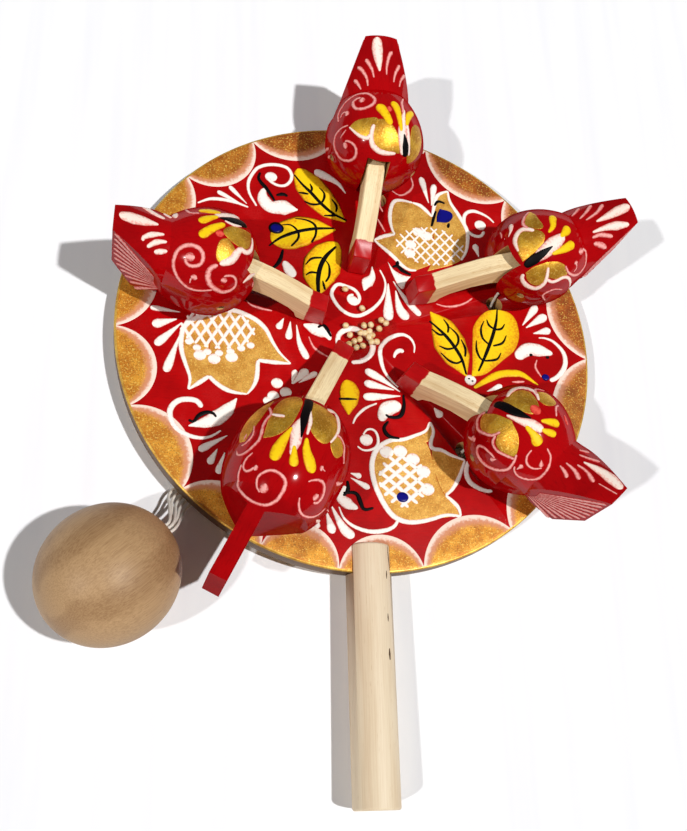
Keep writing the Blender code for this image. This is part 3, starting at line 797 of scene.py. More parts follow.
def make_room():
    """A white table, two lamps, and a surround that looks white but lights the toy only a little."""
    mesh = bpy.data.meshes.new("table")
    corners = [(x * TABLE_HALF, y * TABLE_HALF, 0) for x, y in ((-1, -1), (1, -1), (1, 1), (-1, 1))]
    mesh.from_pydata(corners, [], [(0, 1, 2, 3)])
    table = bpy.data.objects.new("table", mesh)
    bpy.context.collection.objects.link(table)
    made, t, shader = material("table_white", {"Roughness": 0.7, "Specular IOR Level": 0.1})
    thread = t.noise(t.stretch(t.result(t.add("TexCoord"), "Object"), (120, 6, 1)), 1.0, 2.0)
    white = t.mix(t.ramp(thread, 0.3, 0.8), rgb(246, 246, 247), rgb(240, 240, 243))
    t.set(shader.inputs["Base Color"], white)
    mesh.materials.append(made)
    make_sun("lamp_right", bearing=-27, height=65.3, strength=2.6, softness=2.0)
    make_sun("lamp_left", bearing=209, height=46, strength=1.22, softness=1.6)
    world = bpy.data.worlds.new("surround")
    world.use_nodes = True
    t = Tree(world.node_tree)
    sky = world.node_tree.nodes["Background"]
    sky.inputs["Color"].default_value = (1, 1, 1, 1)
    seen = t.result(t.add("LightPath"), "Is Camera Ray")
    t.set(sky.inputs["Strength"], t.math("MAXIMUM", seen, SURROUND_LIGHT))
    bpy.context.scene.world = world
    bpy.context.scene.view_settings.view_transform = "Standard"


# Strings, which come before the other pieces

# The rope's section and twist: sides of the tube, plies, diameters per turn, diameters per ring of points
ROPE_SIDES = 14
ROPE_PLIES = 3
ROPE_LAY = 3.2
ROPE_STEP = 0.42
ROPE_SWELL = 0.11

# The bundle's place from the board's middle, the way between two strands in it, the height of a string over
# the table, and the radius of the ring in which the strings enter the ball
BUNDLE = (-49.0, -48.5)
STRAND_SPACING = 1.75
STRING_LIFT = 0.3
STRING_RING = 1.35
# Where a string starts, between the board's two faces
STRING_START_Z = -3.3
# Turn on to the table below a board hole: way ahead and height, from just under the board to the table
HOLE_TURN = ((0.1, 1.2), (1.1, 0.3), (4.0, 0.0))
# From the bundle's middle to the board's rim: way ahead and height; and how deep the strings sag behind it
RIM_WAY, RIM_RISE, RIM_SAG = 12.5, 2.2, 0.8
# Ways out of the ball's hole: in front of its mouth, inside its lip, and at the string's end
BALL_WAYS = (2.8, -0.6, -9.0)
# Lane in the bundle, bearing round the ball's hole in degrees, and sway of the way's middle
LANES = {"left": (2, 18.0, 0.0), "back": (1, -54.0, 0.0), "front_left": (0, 90.0, 0.0),
         "right": (-1, -126.0, -3.0), "front_right": (-2, 162.0, 0.0)}
# The pull string in a hen's frame, from the neck's lever to the middle of the board's thickness
PULL_WAY = ((41.5, 0, 8.6), (40.5, -0.3, 6.6), (33.1, -2.3, 2.3), (31.4, -3.9, 0.1), (31.0, STRING_Y, -3.0))
# Share of the way from the swing's hinge to the ball's middle, where a string would go over to the ball; the
# point there is worked out but not used
BLEND_SHARE = 0.8


def string_grid(points):
    """A tube along a curve whose section is a three-lobed rope: the radius swells with the cosine of three
    times the angle, and the angle turns once every few diameters. Gives the tube and its middle line."""
    fine, along = fine_line(points)
    rings = max(3, round(along[-1] / (STRING_DIAMETER * ROPE_STEP))) + 1
    places = np.linspace(0, along[-1], rings)
    line = at_places(fine, along, places)
    tangent = np.gradient(line, axis=0)
    tangent /= np.linalg.norm(tangent, axis=1)[:, None]
    side = np.zeros_like(line)
    side[0] = np.cross(tangent[0], (0.0, 0.0, 1.0) if abs(tangent[0, 2]) < 0.9 else (1.0, 0.0, 0.0))
    side[0] /= np.linalg.norm(side[0])
    for k in range(1, rings):
        carried = side[k - 1] - tangent[k] * (side[k - 1] @ tangent[k])
        side[k] = carried / np.linalg.norm(carried)
    other = np.cross(tangent, side)
    angle = circle(ROPE_SIDES)
    twist = places[:, None] / (ROPE_LAY * STRING_DIAMETER) * 2 * math.pi
    radius = STRING_DIAMETER / 2 * (1 - ROPE_SWELL + ROPE_SWELL * np.cos(ROPE_PLIES * (angle[None] - twist)))
    around = side[:, None] * np.cos(angle)[None, :, None] + other[:, None] * np.sin(angle)[None, :, None]
    ends = [np.repeat(line[k][None, None], ROPE_SIDES, 1) for k in (0, -1)]
    return np.concatenate([ends[0], line[:, None] + around * radius[..., None], ends[1]]), line


def string_route(name):
    """The long string's route in the row frame, in millimetres: down the board's hole, along the table, under
    the rim and into the ball."""
    lane, turn, sway = LANES[name]
    turn = math.radians(turn)
    start, underside = (in_row_frame(HEN_FRAMES[name], (STRING_HOLE_X, STRING_Y, z)) / MM
                        for z in (STRING_START_Z, -BOARD_THICKNESS))
    floor = STRING_DIAMETER / 2 + STRING_LIFT
    along = np.array((-math.sqrt(0.5), -math.sqrt(0.5), 0))
    across = np.array((along[1], -along[0], 0))
    gather = np.array((*(PADDLE[:2, 3] / MM + BUNDLE), floor)) + across * lane * STRAND_SPACING
    away = np.array((*(gather - underside)[:2], 0))
    away /= np.linalg.norm(away)
    below = np.array((*underside[:2], floor))
    turned = [below + away * ahead + (0, 0, up) for ahead, up in HOLE_TURN]
    rim = gather + along * RIM_WAY + (0, 0, RIM_RISE)
    ring = np.array((0, math.cos(turn), math.sin(turn))) * STRING_RING
    entry = [in_row_frame(BALL, ring + (BALL_LENGTH / 2 + out, 0, 0)) / MM for out in BALL_WAYS]
    bend = (rim + entry[0]) / 2 - (0, 0, RIM_SAG)
    middle = (turned[-1] + gather) / 2 + across * sway
    return [start, *turned, middle, gather, rim, bend, *entry]


def make_strings():
    """The long strings, which run from the paddle to the ball, and the short ones up to the necks."""
    swing = next(j for j in frame["joints"] if j["name"] == "ball_swing")
    pivot = np.array(swing["pos_m"])
    towards_ball = BALL[:3, 3] - pivot
    for name, place in HEN_FRAMES.items():
        grid, line = string_grid(string_route(name))
        piece = make_piece("long_string_" + name, MILLIMETRES, [grid], PAINT["cotton"], sharp=80,
                           replaces=("string_" + name,))
        length = float(np.linalg.norm(np.diff(line, axis=0), axis=1).sum()) * MM
        tuple(pivot + towards_ball * BLEND_SHARE)
        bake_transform(piece)
        piece = make_piece("short_string_" + name, place, [string_grid(PULL_WAY)[0]], PAINT["cotton"],
                           sharp=80, replaces=("pull_string_" + name,))
        lever, hole = in_row_frame(place, [PULL_WAY[0], PULL_WAY[-1]])
        "neck_" + name
        tuple(hole)
        tuple(lever)
        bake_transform(piece)


# Wooden pieces

# Rings of points along a hen's chest, its back and its tail, and points in each
CHEST_RINGS, BACK_RINGS, TAIL_RINGS = 26, 18, 18
HEN_TURNS = 96
SAWN_SHARP = math.radians(32)
# How far a slot or a hole is cut past the board's faces
SLOT_PLAY = 0.3
HOLE_OVERRUN = 1.0
HANDLE_ROUNDING = 0.8
# The ball's lip: how much wider it is than the hole, and how deep
LIP_WIDTH, LIP_DEPTH = 0.25, 0.4


def body_radius(hen, along):
    """Radius of the turned body: an elliptic chest, a back that falls to the waist as a power of the way, and
    a flaring tail."""
    chest, waist = hen.chest_length, hen.waist_place
    front = hen.diameter / 2 * np.sqrt(np.clip(1 - (1 - along / chest) ** 2, 0, 1))
    u = np.clip((along - chest) / (waist - chest), 0, 1)
    back = hen.diameter / 2 - (hen.diameter - hen.waist) / 2 * u ** hen.fullness
    u = np.clip((along - waist) / hen.tail, 0, 1)
    flare = hen.waist / 2 + (TAIL_DIAMETER - hen.waist) / 2 * u ** FLARE_POWER
    return np.where(along < chest, front, np.where(along < waist, back, flare))


def turned_point(hen, along, angle, lift=0.0):
    """Point of the turned body, in its own plan: a circle round the tilted axis. lift raises it off the
    skin."""
    radius = body_radius(hen, along) + lift
    out, ahead = radius * np.cos(angle), along - hen.chest_length
    x = BODY_FRONT_X + hen.chest_length + ahead * math.cos(BODY_TILT) - out * math.sin(BODY_TILT)
    z = BODY_AXIS_Z + ahead * math.sin(BODY_TILT) + out * math.cos(BODY_TILT)
    return np.stack(np.broadcast_arrays(x, radius * np.sin(angle), z), -1)


def side_cut(hen):
    """The saw's way on one side of the tail in plan, from front to back: places x and half widths."""
    waist, tip, root = hen.waist_x, hen.tip / 2, hen.root / 2
    reach = waist + hen.tail + CUT_OVERRUN
    if hen.knee:
        return [(waist - KNEE_START, root), (waist - KNEE_START + hen.knee, tip), (reach, tip)]
    slope = (root - tip) / hen.tail
    return [(waist - SIDE_CUT_RUN, root + slope * SIDE_CUT_RUN),
            (reach, max(tip - slope * CUT_OVERRUN, THINNEST_HALF))]


def side_limit(hen, x):
    """Half the width left between the tail's sawn sides, at a distance x behind the beak."""
    way = np.array(side_cut(hen))
    return np.where(x < way[0, 0], hen.diameter, np.interp(x, way[:, 0], way[:, 1]))


def skin_grid(hen):
    """The turned body as rings along its axis, closed at the chest and at the tail's end."""
    chest, waist = hen.chest_length, hen.waist_place
    along = np.concatenate([chest * (1 - np.cos(np.linspace(0, math.pi / 2, CHEST_RINGS))),
                            np.linspace(chest, waist, BACK_RINGS)[1:],
                            waist + hen.tail * np.linspace(0, 1, TAIL_RINGS)[1:]])
    skin = turned_point(hen, along[:, None], circle(HEN_TURNS)[None])
    cap = np.repeat(skin[-1:].mean(axis=1, keepdims=True), HEN_TURNS, axis=1)
    return np.concatenate([skin, cap])


def make_hen_body(name):
    """A body turned and then sawn: the tail's sides and end are lacquered, its underside, the base and the
    neck's slot are bare."""
    hen, place, plan = HENS[name], HEN_FRAMES[name], BODY_FRAMES[name]
    piece = make_piece("hen_body_" + name, plan, [skin_grid(hen)], PAINT["hen"], "paddle", sharp=60,
                       replaces=("body_" + name,))
    tall, end = hen.diameter * 2, hen.tail_end_x
    way = side_cut(hen)
    outline = way + [(way[-1][0], hen.diameter), (way[0][0], hen.diameter)]
    sides = [[(x, side * y + hen.tail_side) for x, y in outline] for side in (-1, 1)]
    cuts = [(plan, prism_grid(side, -tall, tall), "hen") for side in sides]
    cuts.append((plan, box_grid((end, -tall, -tall), (end + tall, tall, tall)), "hen"))
    cuts.append((plan @ moved(end, z=TRIM_HEIGHT, angle=-TRIM_SLOPE, axis="Y"),
                 box_grid((-tall, -tall, -tall), (tall, tall, 0)), "bare"))
    cuts.append((place, box_grid((0, -tall, -tall), (tall * 2, tall, BODY_BASE)), "bare"))
    cuts.append((place, box_grid((SLOT_FRONT_X, -SLOT_HALF, -tall), (SLOT_BACK_X, SLOT_HALF, SLOT_TOP_Z)),
                 "bare"))
    bore = lathe_grid([(-tall, 0), (-tall, PIN_BORE_RADIUS), (tall, PIN_BORE_RADIUS), (tall, 0)], turns=16)
    cuts.append((place @ moved(PIN_X, z=PIN_Z, angle=math.pi / 2), bore, "bare"))
    for where, grid, paint in cuts:
        carve(piece, make_piece("cutter", where, [grid], PAINT[paint], sharp=10))
    keep_place(piece, plan)
    piece.data.shade_smooth()
    piece.data.set_sharp_from_angle(angle=SAWN_SHARP)


def carried_over(node, name, place, paint):
    """A copy of a CAD piece that keeps its own shape, with its seams merged and its local millimetres kept
    for the pattern."""
    source = frame["nodes"][node]
    mesh = source.data.copy()
    shape = bmesh.new()
    shape.from_mesh(mesh)
    bmesh.ops.remove_doubles(shape, verts=shape.verts, dist=MERGE_SEAMS)
    bmesh.ops.dissolve_limit(shape, angle_limit=math.radians(0.5), verts=shape.verts, edges=shape.edges)
    shape.to_mesh(mesh)
    shape.free()
    piece = link_piece(name, mesh, paint, sharp=35)
    keep_place(piece, place)
    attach(piece, source["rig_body"])
    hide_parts(node)


def make_handle():
    """The dowel: a profile turned round its axis with rounded ends, slotted where it grips the board."""
    radius = HANDLE_DIAMETER / 2
    start = [(0, 0), (0, radius / 2), *rounded_corner(radius, HANDLE_ROUNDING, 6)]
    profile = start + [(HANDLE_LENGTH - along, r) for along, r in start[::-1]]
    place = PADDLE @ moved(0, HANDLE_LAP - BOARD_RADIUS - HANDLE_LENGTH, HANDLE_AXIS_Z, math.pi / 2)
    handle = make_piece("dowel_handle", place, [lathe_grid(profile, turns=96)], PAINT["handle"], "paddle",
                        replaces=("handle",))
    low, reach = -BOARD_THICKNESS - SLOT_PLAY, BOARD_RADIUS + SLOT_PLAY
    board = disc_grid([(low, 0), (low, reach), (SLOT_PLAY, reach), (SLOT_PLAY, 0)], turns=240)
    carve(handle, make_piece("slot", PADDLE, [board], PAINT["handle"]))
    keep_place(handle, place)


def make_ball():
    """The ball: an ellipse turned round its axis and run on over a small lip into its drilled hole."""
    half, radius, hole = BALL_LENGTH / 2, BALL_DIAMETER / 2, BALL_HOLE_RADIUS
    profile = [(-half * math.cos(t), radius * math.sin(t)) for t in np.linspace(0, math.pi, 60)
               if radius * math.sin(t) > hole or t < math.pi / 2]
    lip, end = half * math.sqrt(1 - (hole / radius) ** 2), half - BALL_HOLE_DEPTH
    profile += [(lip, hole + LIP_WIDTH), (lip - LIP_DEPTH, hole), (end, hole), (end, 0)]
    make_piece("turned_ball", BALL, [lathe_grid(profile, turns=128)], PAINT["ball"], "ball", sharp=50,
               replaces=("ball",))
    carried_over("ball_peg", "string_peg", BALL, PAINT["handle"])


def make_board():
    """The board: its solid's disc with the upper edge turned finer, and its five string holes."""
    low = -BOARD_THICKNESS
    top = [(-depth, radius) for depth, radius in rounded_corner(BOARD_RADIUS, BOARD_EDGE, 5)]
    profile = [(low, 0), (low, BOARD_RADIUS - BOARD_EDGE), (low + BOARD_EDGE, BOARD_RADIUS)] + top[::-1]
    board = make_piece("painted_board", PADDLE, [disc_grid(profile + [(0, 0)], turns=288)], PAINT["board"],
                       "paddle", replaces=("board",))
    low, high = -BOARD_THICKNESS - HOLE_OVERRUN, HOLE_OVERRUN
    hole = disc_grid([(low, 0), (low, STRING_HOLE_RADIUS), (high, STRING_HOLE_RADIUS), (high, 0)], turns=40)
    for place in HEN_FRAMES.values():
        carve(board, make_piece("hole", place @ moved(STRING_HOLE_X, STRING_HOLE_Y), [hole], PAINT["bare"]))
    keep_place(board, PADDLE)


# Millet and glue, in millimetres from the board's middle and above its top
PATCH_GRAINS = ((0.3, 2.2), (2.6, 2.6), (5.4, 1.4), (6.2, 4.6), (2.0, 0.2), (-4.6, -1.6), (-3.2, -3.8),
                (-5.0, -5.0), (-1.4, -3.0), (-2.6, -6.0), (-0.4, -5.2), (1.8, -2.0), (2.9, -1.2),
                (4.4, -3.4), (0.4, -0.6), (-1.0, -0.6), (2.6, -3.6), (7.8, 3.6))
LONE_GRAINS = ((-5.6, 15.4), (0.0, 8.7), (-5.8, 1.9))
PATCH_GRAIN_Z, LONE_GRAIN_Z = 0.75, 0.3
GLUE_MIDDLE = (2.6, -1.2)
GLUE_TURN = math.radians(38)
GLUE_HALVES = (10.0, 6.0)
GLUE_LOW, GLUE_RISE = 0.3, 0.5
GLUE_WAVES = (0.08, 0.05)
# A grain's three radii as shares, its dent and how far that spreads, and the most it is turned and leant
GRAIN_SHARES = (1.04, 0.96, 0.94)
GRAIN_DENT, DENT_SPREAD = 0.16, 0.45
GRAIN_TURN, GRAIN_LEAN = 6.28, 0.9


def grain_grid(rng):
    """One grain: a sphere flattened a little, with a dent at one pole, turned at random."""
    u, v = np.linspace(0, math.pi, 13)[:, None], circle(16)[None]
    radius = GRAIN_RADIUS * (1 - GRAIN_DENT * np.exp(-(u / DENT_SPREAD) ** 2))
    ball = np.stack(np.broadcast_arrays(np.sin(u) * np.cos(v), np.sin(u) * np.sin(v), np.cos(u)), -1)
    turn = Matrix.Rotation(rng.uniform(0, GRAIN_TURN), 3, "Z")
    turn = turn @ Matrix.Rotation(rng.uniform(-GRAIN_LEAN, GRAIN_LEAN), 3, "X")
    return ball * radius[..., None] * GRAIN_SHARES @ np.array(turn).T


def glue_grid():
    """The spot of glue: a low dome over a wavy ellipse, whose height falls as the root of one less the fourth
    power of the way out, closed below to its middle."""
    out = 1 - (1 - np.linspace(0, 1, 7)) ** 2
    up = GLUE_LOW + GLUE_RISE * np.sqrt(1 - out ** 4)
    out, up = np.append(out, 0)[:, None], np.append(up, GLUE_LOW)[:, None]
    angle = circle(48)
    wave = out * (1 + GLUE_WAVES[0] * np.cos(3 * angle + 1) + GLUE_WAVES[1] * np.cos(5 * angle))
    film = np.stack(np.broadcast_arrays(wave * np.cos(angle), wave * np.sin(angle), up), -1)
    turn = np.array(Matrix.Rotation(GLUE_TURN, 3, "Z"))
    return film * (*GLUE_HALVES, 1) @ turn.T + (*GLUE_MIDDLE, 0)


def make_grains():
    """Millet glued to the board: a patch sunk into a spot of glue, and three grains by themselves."""
    rng = np.random.default_rng(8)
    patch = [grain_grid(rng) + (x, y, PATCH_GRAIN_Z + GRAIN_RADIUS) for x, y in PATCH_GRAINS]
    make_piece("millet_patch", PADDLE, patch, PAINT["grain"], "paddle", sharp=180, replaces=("grain_patch",))
    for number, (x, y) in enumerate(LONE_GRAINS, 1):
        make_piece(f"millet_{number}", PADDLE, [grain_grid(rng) + (x, y, LONE_GRAIN_Z + GRAIN_RADIUS)],
                   PAINT["grain"], "paddle", sharp=180, replaces=(f"grain_{number}",))
    make_piece("glue_spot", PADDLE, [glue_grid()], PAINT["glue"], "paddle", sharp=180)


# Painting

# Height of each paint's edge above the skin and thickness of its coat, in millimetres
COATS = {"gold": (0.0, 0.06), "gilt": (0.0, 0.06), "scallop": (0.0, 0.08), "crack": (0.0, 0.03),
         "white": (0.05, 0.10), "cream": (0.05, 0.10), "pink": (0.06, 0.10), "dab": (0.07, 0.05),
         "yellow": (0.10, 0.09), "black": (0.17, 0.08), "blue": (0.22, 0.08)}
# Strokes of one paint lie a hair above each other, in turns, so that none flickers where they cross
LAYERS, LAYER_STEP = 7, 0.003
# How deep a stroke's edges reach below the skin, and how far paint stays from a sawn edge
SUNK = -0.03
EDGE_MARGIN = 0.2
# Step along a stroke, points across a stroke, a fill and a half-moon, and rows of a half-moon
STROKE_STEP = 0.7
STROKE_COLUMNS, FILL_COLUMNS, SCALLOP_COLUMNS = 6, 14, 12
SCALLOP_ROWS = 40
# Extra rows near a stroke's ends, which draw together on a stroke shorter than SHORT, down to a least share;
# and the least radius of an end
END_ROWS = (0, 0.12, 0.4, 0.8)
SHORT = 3
LEAST_SHARE = 0.15
LEAST_END = 0.15
# Widths along a drop as shares of its head's
DROP_SHARES = (0.9, 1.0, 0.7, 0.4, 0.12)
# Millimetres per degree round a hen's back, roughly, and the step by which the skin's slope is measured
BACK_DEGREE = 0.28
SLOPE_STEP = 0.2


class Surface(NamedTuple):
    """Something to paint on: lay puts pattern points at a lift off it, scale tells how many millimetres a
    step of each pattern coordinate is, and unit evens out the two coordinates while a curve is drawn."""

    name: str
    place: np.ndarray
    lay: Callable
    scale: Callable = np.ones_like
    unit: tuple = (1.0, 1.0)


def board_surface():
    """The board's top: pattern points are millimetres from its middle."""
    def lay(points, lift):
        return np.concatenate([points, lift[..., None]], -1)
    return Surface("board", PADDLE, lay)


def handle_surface():
    """The dowel's upper side: pattern points are millimetres from the board's middle."""
    def lay(points, lift):
        radius = HANDLE_DIAMETER / 2 + lift
        angle = points[..., 0] / (HANDLE_DIAMETER / 2)
        return np.stack([radius * np.sin(angle), points[..., 1], HANDLE_AXIS_Z + radius * np.cos(angle)], -1)
    return Surface("handle", PADDLE, lay)


def back_surface(name):
    """A hen's turned back: pattern points are millimetres from the chest and degrees round from the top.
    Points past a sawn face are drawn in to its edge."""
    hen = HENS[name]

    def lay(points, lift):
        spot = turned_point(hen, points[..., 0], np.radians(points[..., 1]), lift)
        limit = side_limit(hen, spot[..., 0]) - EDGE_MARGIN
        spot[..., 1] = np.clip(spot[..., 1], hen.tail_side - limit, hen.tail_side + limit)
        spot[..., 0] = np.minimum(spot[..., 0], hen.tail_end_x - EDGE_MARGIN)
        return spot

    def scale(points):
        radius = body_radius(hen, points[:, 0])
        lean = (body_radius(hen, points[:, 0] + SLOPE_STEP) - radius) / SLOPE_STEP
        return np.stack([np.sqrt(1 + lean ** 2), radius * math.pi / 180], -1)
    return Surface("back_" + name, BODY_FRAMES[name], lay, scale, (1.0, BACK_DEGREE))


def tail_surface(name, side):
    """A sawn side of a hen's tail: pattern points are millimetres behind the waist and above the board."""
    hen = HENS[name]

    def lay(points, lift):
        x = hen.waist_x + points[..., 0]
        return np.stack([x, hen.tail_side + side * (side_limit(hen, x) + lift), points[..., 1]], -1)
    return Surface(f"tail_{name}_{'near' if side < 0 else 'far'}", BODY_FRAMES[name], lay)


def band(surface, left, right, lift, height, columns):
    """A coat of paint between two edges: a low crown on top, and an underside just below the skin."""
    t = np.concatenate([np.sin(np.linspace(-1, 1, columns) * math.pi / 2), [0.0]])
    share = (t[:, None] + 1) / 2
    points = left[:, None] * (1 - share) + right[:, None] * share
    up = np.tile(lift + height * (1 - t ** 6), (len(left), 1))
    up[:, [0, columns - 1]] = SUNK
    up[:, -1] = 2 * SUNK
    brush = np.stack(np.broadcast_arrays(np.arange(len(left))[:, None] * STROKE_STEP, share[:, 0]), -1)
    return surface.lay(points, up), brush


def stroke_edges(surface, points, widths):
    """The two edges of a stroke. Its width follows the widths given at even shares of its way, and it is
    rounded off at both ends."""
    line, along = fine_line(np.array(points) * surface.unit)
    ends = np.array(END_ROWS) * max(LEAST_SHARE, min(1.0, along[-1] / SHORT))
    inner = np.linspace(ends[-1], along[-1] - ends[-1], max(2, round(along[-1] / STROKE_STEP)))
    rows = np.concatenate([ends[:-1], inner, along[-1] - ends[-2::-1]])
    line = at_places(line, along, rows) / surface.unit
    scale = surface.scale(line)
    lean = np.gradient(line, axis=0) * scale
    reach = np.maximum(np.linalg.norm(lean, axis=1), 1e-9)[:, None]
    steps = np.linalg.norm(np.diff(line, axis=0) * scale[1:], axis=1)
    way = np.concatenate([[0], np.cumsum(steps)])
    width = np.interp(way / way[-1], np.linspace(0, 1, len(widths)), widths)
    for distance, end in ((way, widths[0]), (way[-1] - way, widths[-1])):
        u = np.clip(distance / max(end / 2, LEAST_END), 0, 1)
        width = width * np.sqrt(1 - (1 - u) ** 2)
    side = np.stack([-lean[:, 1], lean[:, 0]], -1) / reach / scale * width[:, None] / 2
    return line - side, line + side


def fill_edges(surface, edges):
    """Two opposite edges of a filled shape, each as the same number of points."""
    lines = [fine_line(np.array(edge) * surface.unit) for edge in edges]
    rows = max(4, round(max(along[-1] for _, along in lines) / STROKE_STEP))
    return [at_places(line, along, np.linspace(0, along[-1], rows + 1)) / surface.unit
            for line, along in lines]


def read_work(text):
    """Shapes from text. An entry is a paint, a kind, its sizes and a colon, then shapes parted by a slash,
    each a row of x,y pairs; the two edges of a fill are parted by a bar."""
    for paint, kind, sizes, shapes in re.findall(r"([a-z]+) ([a-z]+)([ \d.]*):([^a-zA-Z]*)", text):
        for shape in shapes.split("/"):
            edges = [[tuple(float(number) for number in pair.split(",")) for pair in edge.split()]
                     for edge in shape.split("|")]
            yield paint, kind, [float(size) for size in sizes.split()], edges


def shape_edges(surface, kind, sizes, edges):
    """The edges of one shape: a line has its widths, a drop or a dot the radius of its round head."""
    if kind == "fill":
        return fill_edges(surface, edges)
    if kind == "drop":
        sizes = [2 * sizes[0] * share for share in DROP_SHARES]
    if kind == "dot":
        reach = np.array((sizes[0], 0)) / surface.scale(np.array(edges[0]))[0]
        edges, sizes = [[edges[0][0] - reach, edges[0][0] + reach]], [2 * sizes[0]]
    return stroke_edges(surface, edges[0], sizes)


def paint(surface, text, shapes=()):
    """Paints a text's shapes, and others, on a surface, as one piece for each paint."""
    coats = {}
    for colour, kind, sizes, edges in [*read_work(text), *shapes]:
        left, right = shape_edges(surface, kind, sizes, edges)
        lift, height = COATS[colour]
        made = coats.setdefault(colour, [])
        lift += len(made) % LAYERS * LAYER_STEP
        columns = FILL_COLUMNS if kind == "fill" else STROKE_COLUMNS
        made.append(band(surface, left, right, lift, height, columns))
    for colour, made in coats.items():
        grids, brushes = zip(*made)
        make_piece(f"{colour}_on_{surface.name}", surface.place, grids, PAINT[colour], "paddle",
                   brushes=brushes, sharp=180)


# The half-moons' cusps as bearings in degrees, their depth, and the radius of their outer edge
SCALLOP_CUSPS = (117.3, 137.4, 160.0, 182.3, 201.9, 224.1, 245.0, 262.8, 282.2, 305.5, 331.0, 357.4, 382.0,
                 406.2, 430.8, 454.0, 477.3)
SCALLOP_DEPTH = 11.5
SCALLOP_RIM = 79.3


def make_scallops(surface):
    """Gold half-moons round the rim: each is bounded by an arc through two cusps of the rim. The brush map's
    Y is the distance from that arc in millimetres."""
    grids, brushes = [], []
    share = (1 - np.cos(np.linspace(0, 1, SCALLOP_ROWS) * math.pi)) / 2
    sweep = -np.cos(share * math.pi)
    for a, b in zip(SCALLOP_CUSPS, SCALLOP_CUSPS[1:]):
        half, middle = math.radians(b - a) / 2, math.radians(a + b) / 2
        chord, bulge = SCALLOP_RIM * math.sin(half), SCALLOP_RIM * (1 - math.cos(half))
        depth = SCALLOP_DEPTH - bulge
        arc = (chord ** 2 + depth ** 2) / (2 * depth)
        x = chord * sweep
        inner = SCALLOP_RIM - bulge - (np.sqrt(arc ** 2 - x ** 2) - (arc - depth))
        out = np.array((math.cos(middle), math.sin(middle)))
        left = inner[:, None] * out + x[:, None] * (-out[1], out[0])
        angle = middle + half * sweep
        right = SCALLOP_RIM * np.stack([np.cos(angle), np.sin(angle)], -1)
        grid, brush = band(surface, left, right, *COATS["scallop"], SCALLOP_COLUMNS)
        brush[..., 1] *= np.linalg.norm(right - left, axis=1)[:, None]
        grids.append(grid)
        brushes.append(brush)
    make_piece("gilded_scallops", PADDLE, grids, PAINT["scallop"], "paddle", brushes=brushes, sharp=180)


# Each lattice's middle, the halves of its ellipse, the gap and width of its strokes, and their slant in
# degrees
LATTICES = (((-47.5, -2.0), (12.0, 7.0), 3.1, 1.3, 58.0), ((25.5, 35.5), (12.5, 7.5), 2.7, 0.9, 48.0),
            ((11.5, -50.0), (8.0, 9.0), 3.0, 1.6, 40.0))
# Strokes each way from the middle, the least chord that gives one, and a stroke's width at its ends
LATTICE_STROKES = 7
LATTICE_GRAZE = 0.02
LATTICE_END = 0.8


def lattice(centre, halves, gap, width, slant):
    """White crossing strokes that fill an ellipse: each is the part of a slanting line inside it. A line that
    only grazes the ellipse gives none."""
    shapes = []
    for turn in (slant, -slant):
        run = np.array((math.cos(math.radians(turn)), math.sin(math.radians(turn))))
        for k in range(-LATTICE_STROKES, LATTICE_STROKES + 1):
            through = np.array((-run[1], run[0])) * k * gap
            a = ((run / halves) ** 2).sum()
            b = (run * through / np.array(halves) ** 2).sum()
            c = ((through / halves) ** 2).sum() - 1
            if b * b - a * c < LATTICE_GRAZE * a:
                continue
            reach = math.sqrt(b * b - a * c)
            ends = [tuple(centre + through + run * (-b + side * reach) / a) for side in (-1, 1)]
            shapes.append(("white", "line", [width * LATTICE_END, width, width * LATTICE_END], [ends]))
    return shapes


